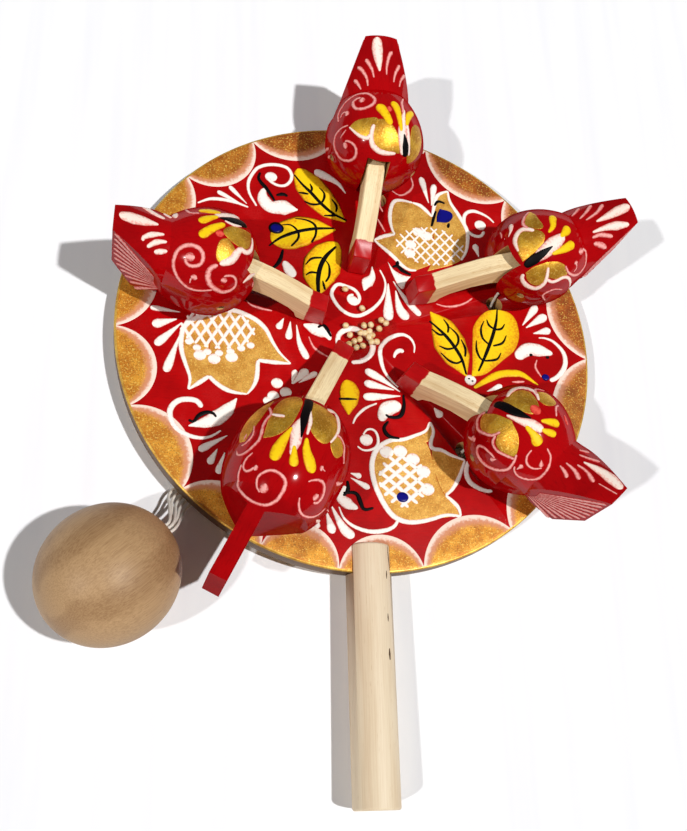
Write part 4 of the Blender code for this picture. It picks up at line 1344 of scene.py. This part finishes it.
# The board's painting, in millimetres from its middle
BOARD_WORK = """
Leaves
yellow line 4 10.5 11 8.5 0.5: -21,61.5 -17,55.5 -11,48 -4.5,42
yellow line 7 11.5 12 8 0.5: -30,31.5 -26,34 -18,37.5 -8,38.5
yellow line 4 11 13.5 11 2.5: -7.5,33.5 -11.5,27.5 -14,21 -14.5,13.5
yellow line 0.4 9 12 9.5 0.5: 24,10 28,4.5 30.5,-2 33,-7.5 35.2,-13
yellow line 4 7 6 0.5: -6,-17 -5,-21 -5.3,-25 -5.5,-29
yellow line 1.2 2.8 2.8 0.5: 37.5,-17 43,-13.5 47,-11.5 51,-10.8 55,-11 60.5,-14.5
yellow fill: 48,12.8 44.5,12 41.5,9.5 39,5.5 38.5,2 38,-3 37.7,-8 37,-13
  | 48,12.8 52.5,12 54.7,9.5 55.5,5.5 55.2,2 53,-2.5 49,-6 45,-9.5 41.5,-12 37,-13
black line 0.6 1.5 1.5 0.8: -22.2,59 -19.5,55.5 -16.5,52.5 -13,48.5 -9,45 -4,42.5
  / -31,30 -27,33.5 -21,36.5 -15,38.2 -8.5,39 / 23.5,6.5 25.5,4.7 29,1.2 32,-3 34,-7 35.2,-12.5
  / 48.2,13 47.5,8.5 46,3.5 44,-1.5 41.5,-7 39.5,-11
black line 0.9 1.9 1.9 1.4: -8,32 -11.5,28 -13.5,24 -14.5,19 -14.5,13
black line 0.4 1.1 0.8: -16.7,56 -16,54 -16.5,52.5 / -13.5,54.7 -11.7,52.5 -12.2,49.5 -13.5,48.2
  / -9.2,50.7 -7.5,48 -7.7,45.5 / -20.7,52 -17.2,51.7 / -18.7,48.7 -16,47.7 -13,48.2 / -12,43.7 -7,44.2
  / -26.5,38.5 -23.5,38.7 -21.2,36.5 -21,34 -23.5,30.5 / -22,41.5 -18,41.2 -15.2,39.5 -15,36 -16.5,32.7
  / -18.7,24 -16.5,26.5 -13,27.2 / -18.7,20 -17,21.2 -14.5,21.2 / -12,26.5 -10.7,24.5 -10.7,20.5 -12,18
  / -13,18.5 -12.2,15 / -2.5,-23.5 -8.5,-23.7
  / 28.5,7.5 30,5 29.7,2.5 / 30.5,4.7 33,2 33.2,-0.5 32,-2.7 / 34.2,0.5 35.5,-3 35.2,-6
  / 24.2,3.5 26.5,1.7 28.5,1.7 / 26.2,-2.5 29,-3.5 31.5,-3 / 26.7,-5 29.5,-7.7 32,-8.5 34,-7.5
  / 50.5,7.5 49,5.5 46,5 / 50.7,3.2 49,0.2 45.5,-1.2 / 48.2,-3.5 46.5,-6 42,-7 / 44,8.7 44.7,6.5 46.5,5.2
  / 43,8 41.7,5 42,1.5 44,-0.7 / 39.7,0.5 39.5,-3 40.5,-6 42,-7
black dot 2.6: -28.5,37
blue dot 1.9: -28.5,37 / 11,-55.7
blue dot 1.3: 63.5,-11.5

Tulips
gilt fill: -49.5,3.5 -55,1 -58,-2 -59,-6 -58.7,-10.5 -57.5,-14.5 -55.7,-19.5 -56,-23.2
  | -49.5,3.5 -50,-8 -50,-18.5 -52.5,-20.5 -56,-23.2
  / -49.5,3.5 -50,-8 -50,-18.5 -45,-22.5 -38,-23.7 | -49.5,3.5 -42.5,5 -37,0 -34.6,-12 -35.5,-19 -38,-23.7
  / -42.5,5 -39,4 -35,2 -32,-1 -30,-5 -27.5,-9 -24,-12.5 | -42.5,5 -38,-1 -34.6,-12 -30,-12.3 -24,-12.5
  / 13.5,52.5 12.2,50 11.5,45 12.2,40.5 6,36 10,32 15,27 20,25.5 | 13.5,52.5 20,52.5 27,47.5 27,38 27,30
  20,25.5
  / 33.2,58.3 29.5,56.5 27,47.5 27,38 26,30 24,25.5 | 33.2,58.3 37,49 39.5,43.5 39,38 36.5,31 24,25.5
  / 8,-37 4,-39.5 2,-43 1.5,-47 2.2,-51.5 3.5,-55 5.5,-59 8,-62 11.5,-63.5 20,-62.5 29.5,-61
  | 8,-37 12,-36.5 16,-35 20,-37 22,-44 23,-50 25.2,-54.5 27.5,-56.5 29.5,-61
  / 21.5,-38.5 25,-39.5 28,-41 32.2,-42.7 | 21.5,-38.5 22,-46 25.2,-54.5 27.5,-52.5 30,-48.5 32.2,-42.7
  / 16,-35 20,-33 21.5,-30 | 16,-35 20,-37 22.5,-33 21.5,-30
white line 0.9 1.8 1.8 1.8 0.6: -56.3,-23.4 -55.9,-19.5 -57.5,-14.5 -58.7,-10.5 -59,-6 -58,-2 -55,1
  -49.5,3.5
  -46,4.7 -42.5,5 -39,4 -35,2 -32,-1 -30,-5 -27.5,-9 -24,-12.5
white line 0.6 1.7 1.4: -24,-12.5 -30,-12.3 -34.6,-12 / -38,-23.9 -36,-21 -35,-18 -34.6,-12
  / -38,-23.9 -42,-23.5 -45,-22.5 -48,-20.5 -50,-18.5 / -56.3,-23.4 -52.5,-20.5 -50,-18.5
white dot 1.3: -56.5,-7 / -54,-9 / -50.7,-10.2 / -47,-10.4 / -43.4,-9.6 / -40,-8.2 / -37,-7
white dot 2: -53,-11.5 / -48.5,-12.5 / -43,-11.5
white line 0.8 1.6 1.6 0.8: 20,52.5 16,53 13.7,52.5 12.2,50 11.5,45 12.2,40.5 13,39
  / 5.5,36 9,37.8 13,39 / 5.5,36 7,34.5 10,32 12.5,29.7 15,27 17.5,25.5 20,25.5 / 20,52.5 23,51.5 27,47.5
  / 27,47.5 28,52 29.5,56.5 33.4,58.8 / 33.4,58.8 34,54.5 37,49 39.5,43.5 39.5,39 38.5,34.5 36.5,31
white dot 2: 21.5,40.7 / 18.5,35.5 / 18,32 / 24.5,39.5
white line 1 1.9 1.9 0.9: 29.8,-61.2 25,-61 20,-62.5 15.5,-63.5 11.5,-63.5 8,-62 5.5,-59 3.5,-55 2.2,-51.5
  1.5,-47
  2,-43 4,-39.5 8,-37 12,-36.5 16,-35 20,-33 21.5,-30
white line 0.8 1.6 1: 29.8,-61.2 29.2,-58.5 27.5,-56.5 25.2,-54.5 / 32.5,-42.5 30,-48.5 27.5,-52.5
  25.2,-54.5
  / 32.5,-42.5 28,-41 25,-39.5 21.5,-38.5 22.5,-33 21.5,-30
white dot 2.3: 6.5,-41 / 11,-40.5 / 15,-43 / 18.3,-47 / 19.3,-52.8
blue fill: 28.5,45.5 28.8,48.5 30,51 | 28.5,45.5 33,46 34.5,49.5 30,51
black line 0.8 1.2 0.8: 28,52 29.5,54 32,53.5 / 28.5,50 27.5,47 26.5,43.5 / 32.5,43.5 33,45.5

Curls
white line 0.7 1.3 1.4 1.3 1: -35.2,45 -37.7,50 -38,54 -36.7,57.5 -34.5,60.5 -30,62.2 -25,61.7 -23.2,59.5
  -23.2,57
  -25,54.5 -27.5,54 -30,55 -31.5,56.5
white dot 2.1: -30.2,57.2 / 44.7,46 / 0,-37.2
white line 0.6 1.5 1.4 1.2: 50,47.5 48,49.5 45,51 42,51.5 39.5,50 38.7,47 39.5,43.5 42,41.5 44.5,41.5
  46,43.5
  / 7,24.5 8.5,21 8.7,18 7.5,14 5,10.5 2,8 -1,6.5 -4,6.7 -7,8.5 -9.2,11.5 -10,14 -9,16.5 -7.5,17.7 -5,17.2
  -2,16 -0.5,13.5 -1,11.5 -2.7,10.7 -4.2,12 -4,13.5 -2.5,14.2
white dot 1.6: -2.7,12.2
white line 1.4 2.2 2.2 1.4: -4,-10.7 0,-9.7 3,-6.5 3,-2.5 -1,1 -4,1.5 -7.5,-0.5 -8.3,-4 -6.5,-7
white line 0.5 1.6 1.6 0.5: 17.5,-5.7 17.7,-3 16.5,-0.5 14,0.7 11,0 8,-2 6,-5 6,-9 7,-13 9,-16 11.5,-18.5
white line 1.8 1.6 0.8: 14,-5.5 12.5,-5.2 11,-6.5 10.5,-8
white line 0.5 1.2 1.8 2 1.6: 62.5,3.2 65,3.2 68,2 71,-1.5 71.5,-5 70.5,-8 68,-11 65,-12.7
white line 1.8 2 1.6 0.6: -52,-29.2 -53.5,-27.2 -56.5,-26.7 -59.5,-27.5 -61.5,-30 -61.5,-33 -59.5,-36.5
  -56,-38.5
  -52,-39.2 -49,-38.5 -46,-36.5
white line 0.6 1.1 0.6: -4.2,-32 -3,-29.5 0,-26.5 4,-24.5 / -3,-39.5 -1,-40.7 2,-40.2 3.7,-38.5 3.7,-35.5
  2.5,-33.7
  0.5,-33.7 -1,-35.5
white line 0.5 1.2 1.6 1: -9.5,-59.5 -8,-63 -5,-65.5 0,-67 5,-66.5 8,-65 9.5,-62.5
white line 1.4 1.9 1.2: 35.5,-41.5 33.5,-43.5 32.7,-46.5 33.5,-49.5 36,-51.5 39,-52.5 41,-52.5
white line 0.8 1.7 1: -62.5,13.5 -61,10.5 -59,7.5 -56,5.5 -52,4.7
pink line 0.5 1.1 0.6: 12.7,56.5 15.5,55 18.5,56.5 20.5,59.5 20,63 / -38.5,9 -37,7.5 -34,6.5 -30,5.9
  / 26.2,13.2 29.5,12.5 33.5,13 37,14.5 39.5,16.5 / -18,-2.5 -16.5,-6 -14,-8 -11.2,-9.5 / 61,-5.2 60.2,-8
  62,-11.5
  / 8.5,54 8,50 9,47.5 / 7,44.5 9.5,39.5 / 51.2,-14 55.7,-13.6
white line 0.6 1.4 1.4 0.6: -55,44 -51,46 -47,46.3 -42.5,45.7 -38,44.2
white drop 0.9: -44.5,51.8 -38.5,45.5 / -48.5,49.3 -40,45

Leaves with black marks
white line 1.5 4.6 5 6.3 0.4: -32.7,52.3 -33,48.5 -30.5,45.3 -26.5,45.5 -21,45
white line 3.5 5 5 1.5: 53.5,-5 58,-1.5 62,-1.5 67,-2.5
white line 0.4 4.5 5.5 3.5 0.4: -41.2,-25.5 -45,-30.5 -49.5,-33.5 -56,-35.5
white line 4 5.5 2.5: 12,-24.5 7,-26.5 5,-30.5
white line 1.5 3 4 1.2: -7.2,-52.8 -9,-56 -6.5,-58.5 -3.5,-59.8
white fill: 10,27.8 12,25 15,23.3 17.8,22.8 | 10,27.8 11.5,23 14.5,17.8 16,20.5 17.8,22.8
white line 0.3 2.2 4.5 0.4: 4.3,25.5 4.2,21.5 2.3,19 1.2,16
white line 0.8 4.5 4.5 1: -19.7,1.8 -15,0.2 -12,-1 -10.8,-3.2
white line 2 4 3.5: -26,24.7 -24.5,22 -22.5,19
black line 0.8 1.6 0.8: -34,58.5 -34.5,56 -32,52.5 -30,49.5 -29,47.7 / -28.5,50 -26,50.7 -24.5,50
  / -56,-33.5 -54.5,-34 -53,-32 -50.5,-30.7 -48.5,-31 -47.5,-32.2 / 13,-21 13,-25 11.5,-28.5 8,-29 6.7,-28.2
  / 7.5,-30.5 6,-33 7.5,-35.5 11,-36.2 / -6.5,-51 -6.5,-54 -8,-56 / -8,-55 -4,-55 -2.5,-58 -1.5,-60
  1.5,-59.5
  / 11.5,26 13.2,26.5 15,25 18,23.5 / 13.2,26.5 13.5,28.5 / -15,1 -13,2 -10.5,-2 / -30,21.2 -27.5,24.5
  -26.2,29
black dot 0.6: 59,-3.5 / 65,-4
white dot 2: 36.5,-14.2
black dot 0.35: 36,-13.8 / 37.2,-14.6

Drops
white drop 1.7: -68.2,-2 -60.5,0.5 / -15,61.5 -7,57.5 -4,53.5 / 66.2,12 58.2,6.7 / -5,-69 -8,-66.5 -12,-59
  / 25.7,-28 23.2,-25 / -18.5,-14.2 -23.5,-19.5
white drop 1.5: -67,-9 -59,-0.7 / -63.5,-18 -59.5,-5.2 / 63,15.5 57,7.5 / 67.2,6.5 60.7,4.7 / -11.5,-68
  -13.5,-61
  / 0.5,-13 7,-16.5 12,-20 / 0,-17.5 10,-19.5 / -0.5,-22.5 12,-21.5
white drop 1: -69,4 -59.5,3
white drop 1.3: 23.7,63.5 26,53 / 28.5,61 27,52 / 42,38 43.2,33 / -28.2,-0.5 -26.2,3.5 / -24.7,-4 -24,2.5
  / -18.5,-10.5 -21,-5 -22,1.5 / -52.7,-43.2 -44,-38 / -49.5,-47.5 -47,-42.5 / -46.7,-50.5 -44.7,-43.5
  / 20.5,8.3 16,13.5 11.5,20.5
white drop 1.9: 9.2,5.5 9.7,19.5 / 16,6.5 13.5,10 12.2,17
white drop 1.1: -2,-49.5 -5.5,-48.5 / 0.5,-53.2 -5.5,-50 / -16.5,-66.5 -16,-63.5 / -22.5,-14.5 -23.7,-19.5
  / -15.5,-15 -21.5,-19 / 49.5,36.5 46.5,34 / 47.5,-15.5 42,-18
white dot 1.9: -28.5,-19.5 / -29.7,-24 / -25.7,-22.5
white dot 1.5: -31.5,-25.7
"""

# Hens' painting: millimetres from the chest, and degrees round from the top of the back
HEN_WORK = {
    "back": """
gold fill: 7,-20 6.6,-6 7,9 8.5,17 11,20 | 7,-20 12,-14 16,-3 17,8 15,15 11,20
  / 15.5,44 12.3,35 11,27 11.5,20 14,15 | 15.5,44 17.2,35 17.5,22 17,10 14,15
  / 7,-33 12,-31 16,-33 18,-40 | 7,-33 5.5,-42 8,-54 13,-57 18,-50 18,-40
cream line 1 1.8 2 1.6 1.4: 6.7,-14 6.5,0 7,10 8.5,17.5 10.5,19 12.5,18 15,15
cream line 1.6 1.4 1 0.6: 11.8,19 10.8,24 12,33 15.5,44
cream line 1.4 3.6 3.6 2 0.6: 6.8,-25 10,-21 14,-19 18,-20.5 22,-25
cream line 1 1.5 1.2: 7.3,-36.5 10,-31 13,-27.5 17,-25
pink line 1.6 1.4 0.6: 20.5,-22 25,-25 28,-34
black line 2.6 3 0.5: 6.6,-31 9,-26.5 12.8,-21
yellow line 2.4 3.2 4.4: 15,-4 18,0 21,5.5 22.5,9.5
yellow line 1.4 2.4 3.8: 13.5,-17 18,-15.5 22,-14 24.6,-11
yellow line 1.4 2.8 2: 16,-24 20,-30 23,-42
dab dot 1.1: 21,-4
pink line 0.5 1 1.2 1.1 0.9: 16.3,45 16.2,54 15,64 12.5,70 10,71 7.5,68 6.2,59 6,51 6.7,43 8.5,40 10,42.5
  11.3,48.5 11.4,52
pink dot 1: 10.3,53.5 / 21,47.5
pink line 0.4 0.6 0.4: 13,58 15,48
pink line 0.6 1.1 1.3 1.4 1.1: 19.2,59.5 20.5,61 22.5,62 24.5,59.5 26.5,54.5 27.8,47.5 28.5,39 28.5,31 28,22
  26.5,15.5 24.8,12.5 23,14.5 21.8,20.5 21.3,27 21.8,35 23,39 25,41 26.2,37.5 26.5,31
pink dot 1.2: 25.2,29
pink line 0.8 0.6: 21,48.5 21.8,50 21.8,54 20.3,57
cream line 0.7 3 4 3: 36.2,3 40,4.5 44,6 47.4,6
pink line 0.6 1.2 1.7: 30.5,32.5 32.5,36.5 34.3,42 / 31.3,21.5 34,22.5 37,29 38.2,34.5 / 34,11.5 37,14.5
  40.3,22
  / 35.2,-7.5 38,-7.5 41.5,-10.5 43.3,-14.5 / 33.3,-20 36,-21.5 39.7,-28.5 / 32.5,-31.5 35,-34 37.5,-42
pink line 1 1.4 0.8: 11,95 10.5,86 / 14,97 12.7,83
""",
    "right": """
gold fill: 6.8,-22 6.4,-6 7.2,8 9,17 11.5,17 | 6.8,-22 10,-17 14.5,-8 16,2 14,12 11.5,17
  / 12.5,16 11.8,26 14,38 17,46 | 12.5,16 16.5,10 17.2,25 17.5,36 17,46
  / 7,-38 7.2,-50 9,-58 11.5,-57 13,-48 | 7,-38 9,-33 12,-31 14.5,-32 13,-48
  / 13.5,-50 13.8,-36 14.5,-31 | 13.5,-50 17,-55 20.5,-54 20.3,-44 18,-35 14.5,-31
cream line 0.8 1.8 2 1.4: 6.6,-6 6.9,9 8.4,17.5 10.5,19.5 12,15.5 13.5,10.5
pink line 1.4 1.2 0.8: 12,17 11.7,26 13.5,36 16.5,45
cream line 1.2 1.9 1.6 1.4 1: 6.3,-39.5 5.8,-47 6.9,-58 9.5,-63 12,-57 13,-48.5 13.8,-37
cream line 1.2 1.4 1.2 0.8: 13,-52 15,-57 19,-56 21,-60 22.2,-70 22.5,-84
cream line 1.5 4.6 5.4 2.6: 8.5,-26 13,-19.5 18,-12.5 22.5,-6
black line 2.4 3.6 2.6 0.4: 7,-28.5 10,-23.5 13,-19.5 17,-15
yellow line 1.2 3 3.4: 21,-7 24,-1 25.8,6
yellow line 1 2.8 3.6: 16,-23.5 21,-22 25.3,-19
yellow line 0.8 2.4 3: 17.5,2 20,8.5 21.5,19 22.9,27
dab dot 0.9: 18.5,4
pink line 0.9 1.2 1.2 1: 20,-42 21,-52 23.5,-61 26,-64.5 29,-60 29.6,-52 29.8,-37 28.7,-30
pink dot 1.3: 27.6,-33
pink dot 0.8: 24.5,-44.5
pink line 0.9 0.5: 24.6,-45.5 24.6,-52 23.3,-55
pink line 0.6 0.9 0.6: 13.5,-88 12,-76 13.5,-70.5 16,-69 19,-75
cream drop 0.95: 9,39.5 8,31 6.2,23
pink line 0.6 0.9 0.4: 5.5,45 5.2,38 4.7,32
cream line 0.7 2.6 3.8 3.4: 36.2,3 40,4 44,5.5 48,5.5
pink line 0.7 1.3 1.8: 30.5,32 32.5,37 34.7,43.5 / 32,19 35,26 38.2,35.5 / 33.5,12 38,17 41.2,25.5
cream line 0.8 2 3.4 1.6: 33.7,-11 38,-10.8 42.5,-14 45.5,-17
pink line 1 1.8 1.6: 33,-19 35.5,-18 39.5,-26
pink line 1.4 2.4 1.8: 33,-28 35,-33 36.8,-40
""",
    "front_right": """
gold fill: 6.8,-8 6.7,8 8,20 10.5,22 | 6.8,-8 12,-7.5 15.5,-4 17,2 16.5,9 14.5,15 10.5,22
  / 12,29 13.5,20 15,17 | 12,29 14,39 18,38 18.5,28 17,19 15,17
  / 5,-36 6,-46 8,-51 11,-48 13,-40 | 5,-36 8,-27 11,-23 14,-22 13,-40
  / 13,-40 13.5,-30 14,-22 | 13,-40 14.5,-49 18,-51 21,-47 20.5,-38 18,-28 14,-22
cream line 1 2.2 2.2 1.6 0.8: 6.8,0 6.3,10 6.5,22 8,27.5 11.5,26.5 14.5,17.5
pink line 1.2 1 0.8: 12.5,24 11,31 11.4,37 13,42
pink line 0.8 1.1 0.8: 19.3,37 19.5,29 21.5,20
dab dot 1.8: 16,5
dab line 1 2 1: 22.5,36 25.5,33
cream line 0.8 2 3.8 2.6: 11,-20 15,-15.5 18.5,-10 22,-5
black line 2.6 3.2 2.8 0.4: 5.5,-16 8,-13.5 12,-11.5 17,-6
yellow line 1 2.6 3.2: 19.5,0 21.5,8 23.7,17.5
yellow line 1.2 2.4 2.6: 21.5,-6 23.5,-1 25.3,5
yellow line 1.2 2.6 5.4: 17.5,-15.5 21,-16 24.2,-19.5
pink line 1.2 1.3 1.1 1: 5.2,-33 4.5,-42 5,-50 7,-54.5 9.5,-51 12,-45 13.2,-37
pink line 1 1.1 1: 12.8,-43 13.5,-50 16,-53 20,-50 21.5,-48.5
pink line 0.8 1.2 1.4 1 0.7: 21.2,-43 22,-52 22,-62 20.5,-69 18,-74 15,-76 12,-74 10.7,-67 12,-62 14.5,-60.5
  17,-61
pink drop 0.9: 16.2,-66 17.6,-61
pink dot 1: 8,-67
pink line 1.4 0.6: 8,-68 6,-76
pink line 0.7 0.9 1 0.9 0.7: 26.3,-15 28.5,-18 30,-28 30.5,-42 30,-56 28,-63 25.5,-64 23.5,-59 23,-55
pink line 0.6 0.9 0.6: 23.5,-29 23.8,-38.5 25.5,-45 27.5,-44.5 29,-38
pink drop 1: 28.7,-37.5 27.4,-30
pink drop 0.9: 24.5,-48.5 24,-57
cream line 0.6 3.2 4.6 2.6: 36.5,9.5 41,13.5 45,13.5 50,8.5
pink line 0.7 1.3 1.8: 34,16 37,22 39.8,29.5 / 33,25 35.5,36 / 35.7,-0.5 39,0 42.8,-6.5
  / 33,-9 36.5,-10 39.3,-15.5 / 32.3,-18 34.5,-20 36.3,-24.5
pink line 0.4 0.6 0.4: 44,-4 50,-1
""",
    "front_left": """
gold fill: 7.4,-12 7.2,2 7.2,16 8.2,27 12,30 | 7.4,-12 10,-8 16,-3 19.5,8 20,20 17,27 12,30
  / 14.5,29 14,38 16,46 18,46 | 14.5,29 18,27 20,33 20.3,40 18,46
  / 7.4,-25 10,-17.5 16,-14 21,-15 25,-23 26.5,-33 | 7.4,-25 7.4,-36 10,-42 15,-41 20,-38 26.5,-33
  / 11,-52 16,-47 22,-48 28,-52 | 11,-52 15,-62 22,-68 28,-60 28,-52
cream line 1.8 2.4 1.8 1 0.7: 7.2,12 5.8,20.5 5.6,27 8,30 11.5,31.5 15,29.5 18,26.5
pink line 0.9 1.1 0.8: 14,30 13.5,37 14.5,45 17,49 19,54
cream line 1.2 1.4 0.8: 17.7,-24 17.9,-31 17.9,-38
pink line 0.9 1.2 1.1 0.7: 15,-47 17.8,-38.8 20,-40 22.5,-39.5 27,-36 30,-40 32,-47 32.3,-55 31,-58
pink line 0.6 0.9 0.6: 22.5,-50 26,-45.5 29,-50 29.5,-54 / 25.5,-54 27.5,-54
cream line 0.8 2 4 3.4 1.2: 12,-6 16,-7 20,-7.5 24,-3.5 28.5,-1
cream line 0.6 1.4 0.8: 12,-5 16,0 20.5,3
black line 2.8 2.9 2.5 0.4: 6.7,-15 10,-10.5 16,-6.5 22.3,-0.5
yellow line 1 2.6 3.8 3.2: 21.5,4 25,10 28,20.5 29.3,25.5
yellow line 1 2.4 3.4: 25.5,-2.5 28.5,2 31,6.5
yellow line 0.8 2.6 3.8 3.4: 20.5,-12.5 25,-14 29.5,-14.5 32,-13.2
pink line 0.6 1 1.3 1.1 0.9 0.7: 41,-13 39.5,-20 37.5,-22.5 35.8,-18 34.5,-10 34.5,-1.5 35.5,7 38,10.5
  40.5,9.5
  42.5,5.5 44,-1.5 44.5,-11.5 44,-23 42.5,-35 40.5,-45 38,-48.5 35,-46
pink dot 1.4: 39.5,-11
pink dot 0.8: 35.3,-28 / 26.3,31
pink line 0.9 0.9 0.5: 35.3,-29.5 36.5,-36 36.3,-41 35.3,-43.5 33.5,-42 31.5,-36.5
pink dot 1.1: 33.3,45
pink line 1 1.3 1.1 0.5: 34.7,47.5 34,51.5 32,52 30,47.5 29,41 29.5,35 31,29 32,26.5
pink line 0.7 1.1 1 0.6: 32,69 35,68.5 37.2,62.5 38.5,52.5 38.5,42.5 37.5,34 36.5,30
pink line 0.7 0.4: 26.3,31 26.2,36
pink drop 0.9: 25.2,57.5 24,64 22,70
cream line 0.8 1.5 0.5: 33.5,92 34.5,85 35.4,77
pink line 0.4 0.6 0.4: 30,86 31.4,75
pink line 0.3 0.5 0.3: 51,4 56,3.5 62,3.2 68,3
""",
    "left": """
gold fill: 11.5,27 10.7,18 12,8 14,2 | 11.5,27 14,30 16.5,27 17,15 16,5 14,2
  / 5.8,-25 6,-5 7,5 9.5,8 13,4 | 5.8,-25 9,-20 13,-15 15.5,-5 13,4
dab dot 1.3: 16.5,-1.5
cream line 1.6 2.8 2.8 1.8 1.6 1.4 0.8: 15.5,30.5 12,24 10.5,15 9.3,10 7.5,10.5 6,5.5 5.3,-5 5.3,-19
pink line 0.8 1 1.2 1.8 2 1.6: 13.5,42.5 12.5,41 10.5,41 9.3,46 9.2,52.5 10.3,57.5 12.5,60 15,57.5 17.2,52.5
  18.2,45 18,37.5 16,31.5
pink dot 1: 13.2,46.5 / 22,50
pink line 0.7 0.5: 22.8,52 22.8,58
pink line 1.2 1.4 1.6 1.3 1 0.6: 25.5,30.5 25,36 23.5,38.5 21.5,36 20.5,30 21,22 22.5,17 25,15.5 27.3,20.5
  28.3,31 28.3,42.5 27.3,52.5 25.5,60 23,64.5 20,63.5 16,59
pink dot 1.5: 24.2,29
cream line 0.8 1.4 0.8: 9.3,-24 12,-18.5 15,-20
cream line 2.2 3.2 3 1.6: 9.8,-45 12,-36 15,-30 18,-26
black line 2.4 4 3.2 0.4: 7.2,-38 9.5,-30 13,-24.5 16.6,-23
yellow line 2 3 3.6: 15,-15 19,-6 22.3,4.5
yellow line 1.4 3 3.8: 17,-25 20,-20.5 22.7,-15.5
yellow line 2 3 2: 16,-33 22.5,-37
pink line 0.9 1.1 0.8: 22.5,-30 25,-35 25.8,-50
cream line 0.4 2 0.5: 2.7,36 5,42 6.8,49
pink line 1 1.5 1: 2.3,66 2.8,52
cream line 0.8 3.4 4.4 2.6: 34,-10.5 38,-8.5 42.5,-6 46,-3.5
cream line 1 2 1.4: 30.5,26.5 32.5,29 34.4,31.3
cream line 0.9 2 1.2: 31,13 34,17 36.7,26.5 / 32,3 35,7 38,15 38.2,20
cream line 1.4 2.6 3.8: 32,-28 36,-33 39.3,-44
cream line 1.2 2.2 2: 30,-37 32,-50 / 28.7,-32 29,-50
""",
}

# The split in the handle's wood, drawn as a dark line of painted shade in its gap, and two dark marks of the
# wood itself
HANDLE_WORK = """
crack line 0.2 0.6 0.2: 5.6,-71.6 5.9,-75 6.4,-79 / 4.6,-79.5 4.5,-82 / 4.4,-92.4 4.4,-94.8
crack line 0.4 0.9 0.4: 4.4,-102.6 4.5,-106
"""

# Hens with a fan on the tail's sawn sides. Its strokes run from near a hub, behind the waist and above the
# board, to a line given by ways in front of the tail's end and heights above the board
FANNED_HENS = ("back", "right", "front_right", "left")
FAN_HUB = (-1.0, 16.2)
FAN_LINE = ((0.8, 32.5), (0.8, 18.0), (3.0, 13.0), (7.5, 6.5))
FAN_STROKES = 11
FAN_START = 0.2
FAN_WIDTHS = [0.3, 0.9, 1.5, 1.6]


def tail_fan(name):
    """Pink strokes on a sawn side of the tail, fanned from the waist to the end's edge and on to the lower
    one."""
    hen, hub = HENS[name], np.array(FAN_HUB)
    end = hen.tail_end_x - hen.waist_x
    edge, along = fine_line([(end - ahead, up) for ahead, up in FAN_LINE])
    tips = at_places(edge, along, np.linspace(0, along[-1], FAN_STROKES))
    starts = hub + (tips - hub) * FAN_START
    return [("pink", "line", FAN_WIDTHS, [[tuple(start), tuple(tip)]]) for start, tip in zip(starts, tips)]


def paint_everything():
    """All the painting: the handle's marks, the board, then each hen's back and tail."""
    paint(handle_surface(), HANDLE_WORK)
    board = board_surface()
    make_scallops(board)
    paint(board, BOARD_WORK, [shape for spec in LATTICES for shape in lattice(*spec)])
    for name in HENS:
        paint(back_surface(name), HEN_WORK[name])
        if name in FANNED_HENS:
            for side in (-1, 1):
                paint(tail_surface(name, side), "", tail_fan(name))


def main():
    """Makes the scene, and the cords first."""
    make_camera()
    make_strings()
    make_room()
    make_board()
    make_handle()
    make_ball()
    make_grains()
    for name, place in HEN_FRAMES.items():
        make_hen_body(name)
        carried_over("neck_" + name, "neck_and_head_" + name, place, PAINT["neck"])
        carried_over("pin_" + name, "neck_pin_" + name, place, PAINT["wire"])
    paint_everything()


main()
